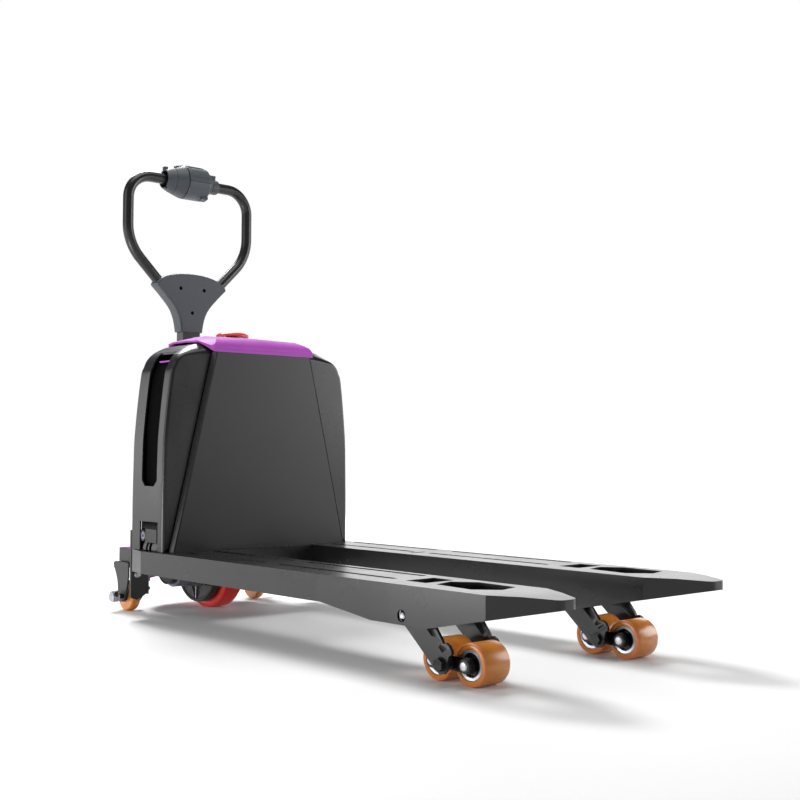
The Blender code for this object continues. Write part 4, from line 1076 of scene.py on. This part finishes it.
def dress_head():
    main = lathe("control_head_body", BAR_MIDDLE, "Y", (
        (0.02, 0.0574), (0.0216, 0.057), (0.0222, 0.0556), (0.0238, 0.054), (0.0245, 0.0425),
        (0.0258, 0.0402), (0.0395, 0.0396), (0.0418, 0.0372), (0.0427, 0.033), (0.0428, -0.0225),
        (0.041, -0.024), (0.0408, -0.0262), (0.0419, -0.0276), (0.0412, -0.03), (0.0388, -0.038),
        (0.0352, -0.049), (0.033, -0.0549), (TUBE_BORE, -0.0549), (TUBE_BORE, 0.0574)), 72, closed=True)
    carve(main, block("belly_pocket", (-0.76, -0.0235, 1.0685), (-0.731, 0.0325, 1.1035)),
          block("button_pocket", (-0.7205, -0.0205, 1.119), (-0.7015, -0.0035, 1.14)),
          block("button_pocket", (-0.7205, 0.0095, 1.119), (-0.7015, 0.0265, 1.14)),
          block("seam", at_bar(0.041, -0.0222, -0.002),
                (high("control_head").x + 0.01, 0.037, BAR_Z - 0.0008)))
    add(main, "tiller", GREY, ["control_head"], bevel=0.0005, smooth=30)
    # near-black ring in the seam: painted shade between the head's parts
    seam_ring = washer("head_seam_ring", at_bar(0, -0.0251, 0), "Y", 0.04, 0.0412, 0.0018, 0.0002, 64)
    add(seam_ring, "tiller", PAINTED_SHADE, bevel=0)

    ridge = loft("head_top_ridge", [
        [at_bar(0.005, y, HEAD_RADIUS * 0.955), at_bar(0.0075, y, inner), at_bar(0.02, y, inner * 0.92),
         at_bar(0.0235, y, HEAD_RADIUS * 0.8)]
        for y, inner in ((-0.0215, 0.0405), (-0.0195, 0.0436), (0.023, 0.0436), (0.033, 0.04))])
    add(ridge, "tiller", GREY, bevel=0.001)
    tab = loft("head_lower_tab", [
        [at_bar(0.008, y, -0.039), at_bar(0.026, y, -0.033), at_bar(0.027, y, 0.004 - reach),
         at_bar(0.01, y, -reach)]
        for y, reach in ((0.021, 0.0445), (0.0225, 0.0462), (0.0365, 0.0462), (0.0385, 0.044))])
    add(tab, "tiller", GREY, bevel=0.0012)
    hood = loft("head_slot_hood", [
        [at_bar(0.003, y, base), at_bar(0.003, y, rise), at_bar(0.0125, y, rise - 0.0008),
         at_bar(0.0125, y, base)]
        for y, rise, base in ((-0.053, 0.0352, 0.03), (-0.0515, 0.0372, 0.03), (-0.033, 0.0412, 0.034),
                              (-0.029, 0.0414, 0.034))])
    add(hood, "tiller", GREY, bevel=0.001)


def dress_left_paddle():
    """A ring on the tube, and a thumb bar that a web joins to it."""
    node = "throttle_paddle_left"
    near = low(node).y
    profile = from_face(high(node).y, (
        (TUBE_BORE, 0.0001), (0.0168, 0.0001), (0.0184, 0.001), (0.0191, 0.0034)), -1)
    profile += from_face(near + 0.017, (
        (0.0191, 0.004), (0.0184, 0.0012), (0.0168, 0.0002), (TUBE_BORE, 0.0002)))
    ring = lathe("paddle_left_ring", BAR_MIDDLE, "Y", profile, 56, closed=True)
    top = high(node).z
    bar = block("bar", at_bar(THUMB_REAR, near + 0.0002, 0.0259),
                (PIVOT.x + THUMB_FRONT, 0.0768, top - 0.0001))
    round_off(bar, 0.0024, 4, lambda one, other: abs(one.y - other.y) > 0.02 and one.z > top - 0.001)
    web = block("web", at_bar(THUMB_REAR + 0.0004, 0.0602, 0.016),
                at_bar(THUMB_FRONT - 0.0004, 0.0764, 0.028))
    merge(ring, web, bar)
    add(ring, "paddle_left", GREY, [node], bevel=0.0006)


def dress_right_paddle():
    """A cone round the tube with an open mouth and a tab for the thumb."""
    node = "throttle_paddle_right"
    near = low(node).y
    profile = from_face(high(node).y, (
        (TUBE_BORE, 0.0002), (0.0326, 0.0002), (0.0328, 0.001), (0.0306, 0.008)), -1)
    profile += from_face(near, (
        (0.0246, 0.0016), (0.0238, 0.0002), (0.0214, 0.0001), (0.0206, 0.0012), (0.0192, 0.01),
        (0.018, 0.0118), (TUBE_BORE, 0.0118)))
    cone = lathe("paddle_right_cone", BAR_MIDDLE, "Y", profile, 72, closed=True)
    tab_top = high(node).z - 0.0001
    merge(cone, block("tab", at_bar(THUMB_REAR, near + 0.0012, 0.022),
                      (PIVOT.x + THUMB_FRONT, near + 0.0108, tab_top)))
    carve(cone, block("notch", at_bar(0.006, near - 0.001, -0.03), at_bar(0.012, near + 0.005, -0.015)))
    add(cone, "paddle_right", GREY, [node], bevel=0.0006)
    # near-black ring inside the paddle's mouth: painted shade of the recess
    mouth_shade_profile = from_face(near, (
        (0.015, 0.0112), (0.0181, 0.0112), (0.0193, 0.0092), (0.0203, 0.002), (0.0206, 0.002),
        (0.0196, 0.0096), (0.0183, 0.0117), (0.015, 0.0117)))
    add_ring("paddle_right_mouth_shade", BAR_MIDDLE, mouth_shade_profile, 56, "paddle_right", PAINTED_SHADE)


def dress_buttons():
    belly = clone("belly_button", "belly_switch_pad")
    add(belly, "belly_switch", RED_PLASTIC, ["belly_button"], bevel=0.0008)
    for node, body in (("lift_button", "lift_switch"), ("lower_button", "lower_switch")):
        cap = clone(node, node + "_cap")
        spot = middle(node)
        top = high(node).z
        dent = lathe("dent", (spot.x, spot.y, top + 0.015), "Z", (
            (0, 0.016), (0.016, 0.015), (0.016, -0.005), (0.009, -0.0135), (0, -0.0156)), 32)
        carve(cap, dent)
        add(cap, body, GREY, [node], bevel=0.0005)


dress_head()
dress_left_paddle()
dress_right_paddle()
dress_buttons()


# ------------ fastenings seen from behind
def dress_back():
    back = low("rear_panel").x
    for name, side in SIDES:
        for index, (y, z) in enumerate(((0.235, 0.3), (0.235, 0.5), (0.175, 0.6))):
            screw = lathe("back_screw_%s_%d" % (name, index), (back - 0.001, side * y, z), "X", (
                (0, 0.0014), (0.0045, 0.0014), (0.0045, 0.0006), (0.0038, -0.0008), (0.0016, -0.0012),
                (0.0014, -0.0002), (0, -0.0002)), 32)
            add(screw, "fork_carriage", ZINC, bevel=0)
    for index, (x, y) in enumerate(((-0.64, 0.033), (-0.64, -0.033), (-0.57, 0.033), (-0.57, -0.033))):
        bolt = hexagon("bracket_bolt_%d" % index, (x, y, 0.3249), "Z", 0.0068, 0.005)
        add(bolt, "drive_unit", ZINC, bevel=0.0002)
    pin = "tiller_pivot_pin"
    half = half_width(pin)
    shaft = lathe("tiller_pivot_turned", middle(pin), "Y", both_ways([
        (0, half), (0.0066, half), (0.008, half - 0.0014)]), 40)
    add(shaft, body_of(NODES[pin])[0], ZINC, [pin], bevel=0)


dress_back()


# ------------ floor, light and camera
def make_floor():
    """A pale floor that lightens with distance into the backdrop, so no horizon shows."""
    shape = bmesh.new()
    bmesh.ops.create_circle(shape, cap_ends=True, segments=96, radius=60.0)
    mesh = bpy.data.meshes.new("studio_floor")
    shape.to_mesh(mesh)
    shape.free()
    floor = collect("studio_floor", mesh)
    paint = surface("pale_studio_floor", (0.88, 0.88, 0.88), (0.91, 0.91, 0.91), (0.62, 0.7),
                    grain=40, bump=0.02, patch=0.6)
    nodes = paint.node_tree.nodes
    link = paint.node_tree.links.new
    shader = nodes["Principled BSDF"]
    place = nodes.new("ShaderNodeTexCoord")
    length = nodes.new("ShaderNodeVectorMath")
    length.operation = "LENGTH"
    fade = nodes.new("ShaderNodeMapRange")
    fade.interpolation_type = "SMOOTHSTEP"
    put(fade, {"From Min": 1.3, "From Max": 6.0, "To Min": 0.02, "To Max": 0.95})
    put(shader, {"Emission Color": (1.0, 1.0, 1.0, 1.0)})
    link(place.outputs["Object"], length.inputs[0])
    link(length.outputs["Value"], fade.inputs["Value"])
    link(fade.outputs["Result"], shader.inputs["Emission Strength"])
    mesh.materials.append(paint)


def make_light(name, place, target, size, power):
    data = bpy.data.lights.new(name, "AREA")
    data.shape = "RECTANGLE"
    data.size, data.size_y = size
    data.energy = power
    lamp = collect(name, data)
    lamp.location = place
    aim = Vector(target) - Vector(place)
    lamp.rotation_euler = aim.to_track_quat("-Z", "Y").to_euler()
    lamp.visible_camera = False


def make_world(seen, felt):
    """A backdrop that looks white and lights the object more softly than it looks."""
    world = bpy.data.worlds.new("studio")
    bpy.context.scene.world = world
    world.use_nodes = True
    nodes = world.node_tree.nodes
    background = nodes["Background"]
    put(background, {"Color": (1.0, 1.0, 1.0, 1.0)})
    path = nodes.new("ShaderNodeLightPath")
    strength = nodes.new("ShaderNodeMapRange")
    put(strength, {"To Min": felt, "To Max": seen})
    world.node_tree.links.new(path.outputs["Is Camera Ray"], strength.inputs["Value"])
    world.node_tree.links.new(strength.outputs["Result"], background.inputs["Strength"])


CAMERA_PLACE = (1.9623, -1.6556, 0.3925)
CAMERA_LENS = 53.72
CAMERA_YAW = math.radians(138.059)
CAMERA_PITCH = math.radians(2.412)
CAMERA_ROLL = math.radians(0.199)


def make_camera():
    ahead = math.cos(CAMERA_PITCH)
    forward = Vector((ahead * math.cos(CAMERA_YAW), ahead * math.sin(CAMERA_YAW), math.sin(CAMERA_PITCH)))
    level = forward.cross(Vector((0, 0, 1))).normalized()
    upright = level.cross(forward)
    right = math.cos(CAMERA_ROLL) * level + math.sin(CAMERA_ROLL) * upright
    above = math.cos(CAMERA_ROLL) * upright - math.sin(CAMERA_ROLL) * level
    data = bpy.data.cameras.new("camera")
    data.lens = CAMERA_LENS
    data.sensor_width = 36.0
    camera = collect("camera", data)
    camera.matrix_world = (Matrix.Translation(CAMERA_PLACE)
                           @ Matrix((right, above, -forward)).transposed().to_4x4())
    bpy.context.scene.camera = camera


make_floor()
make_world(1.0, 0.13)
make_light("top_softbox", (0.1, -0.1, 3.4), (0, 0, 0), (2.4, 2.0), 52)
make_light("key", (-2.3, 0.5, 3.0), (0, 0, 0.1), (1.3, 1.1), 115)
make_light("back_softbox", (-2.4, 3.1, 1.4), (-0.9, 0.4, 0.1), (3.25, 2.2), 40)
make_light("left_fill", (-1.0, -3.4, 1.6), (-0.4, 0, 0.35), (2.2, 2.6), 34)
make_light("left_rear", (-3.4, -2.1, 0.8), (-0.4, -0.2, 0.2), (1.2, 1.4), 12)
make_light("right_fill", (2.0, 3.4, 1.3), (-0.3, 0, 0.35), (2.2, 1.8), 66)
make_light("low_glow", (-0.5, -1.5, 0.16), (-0.6, 0, 0.06), (0.7, 0.2), 7.0)
make_camera()
bpy.context.scene.view_settings.view_transform = "Standard"
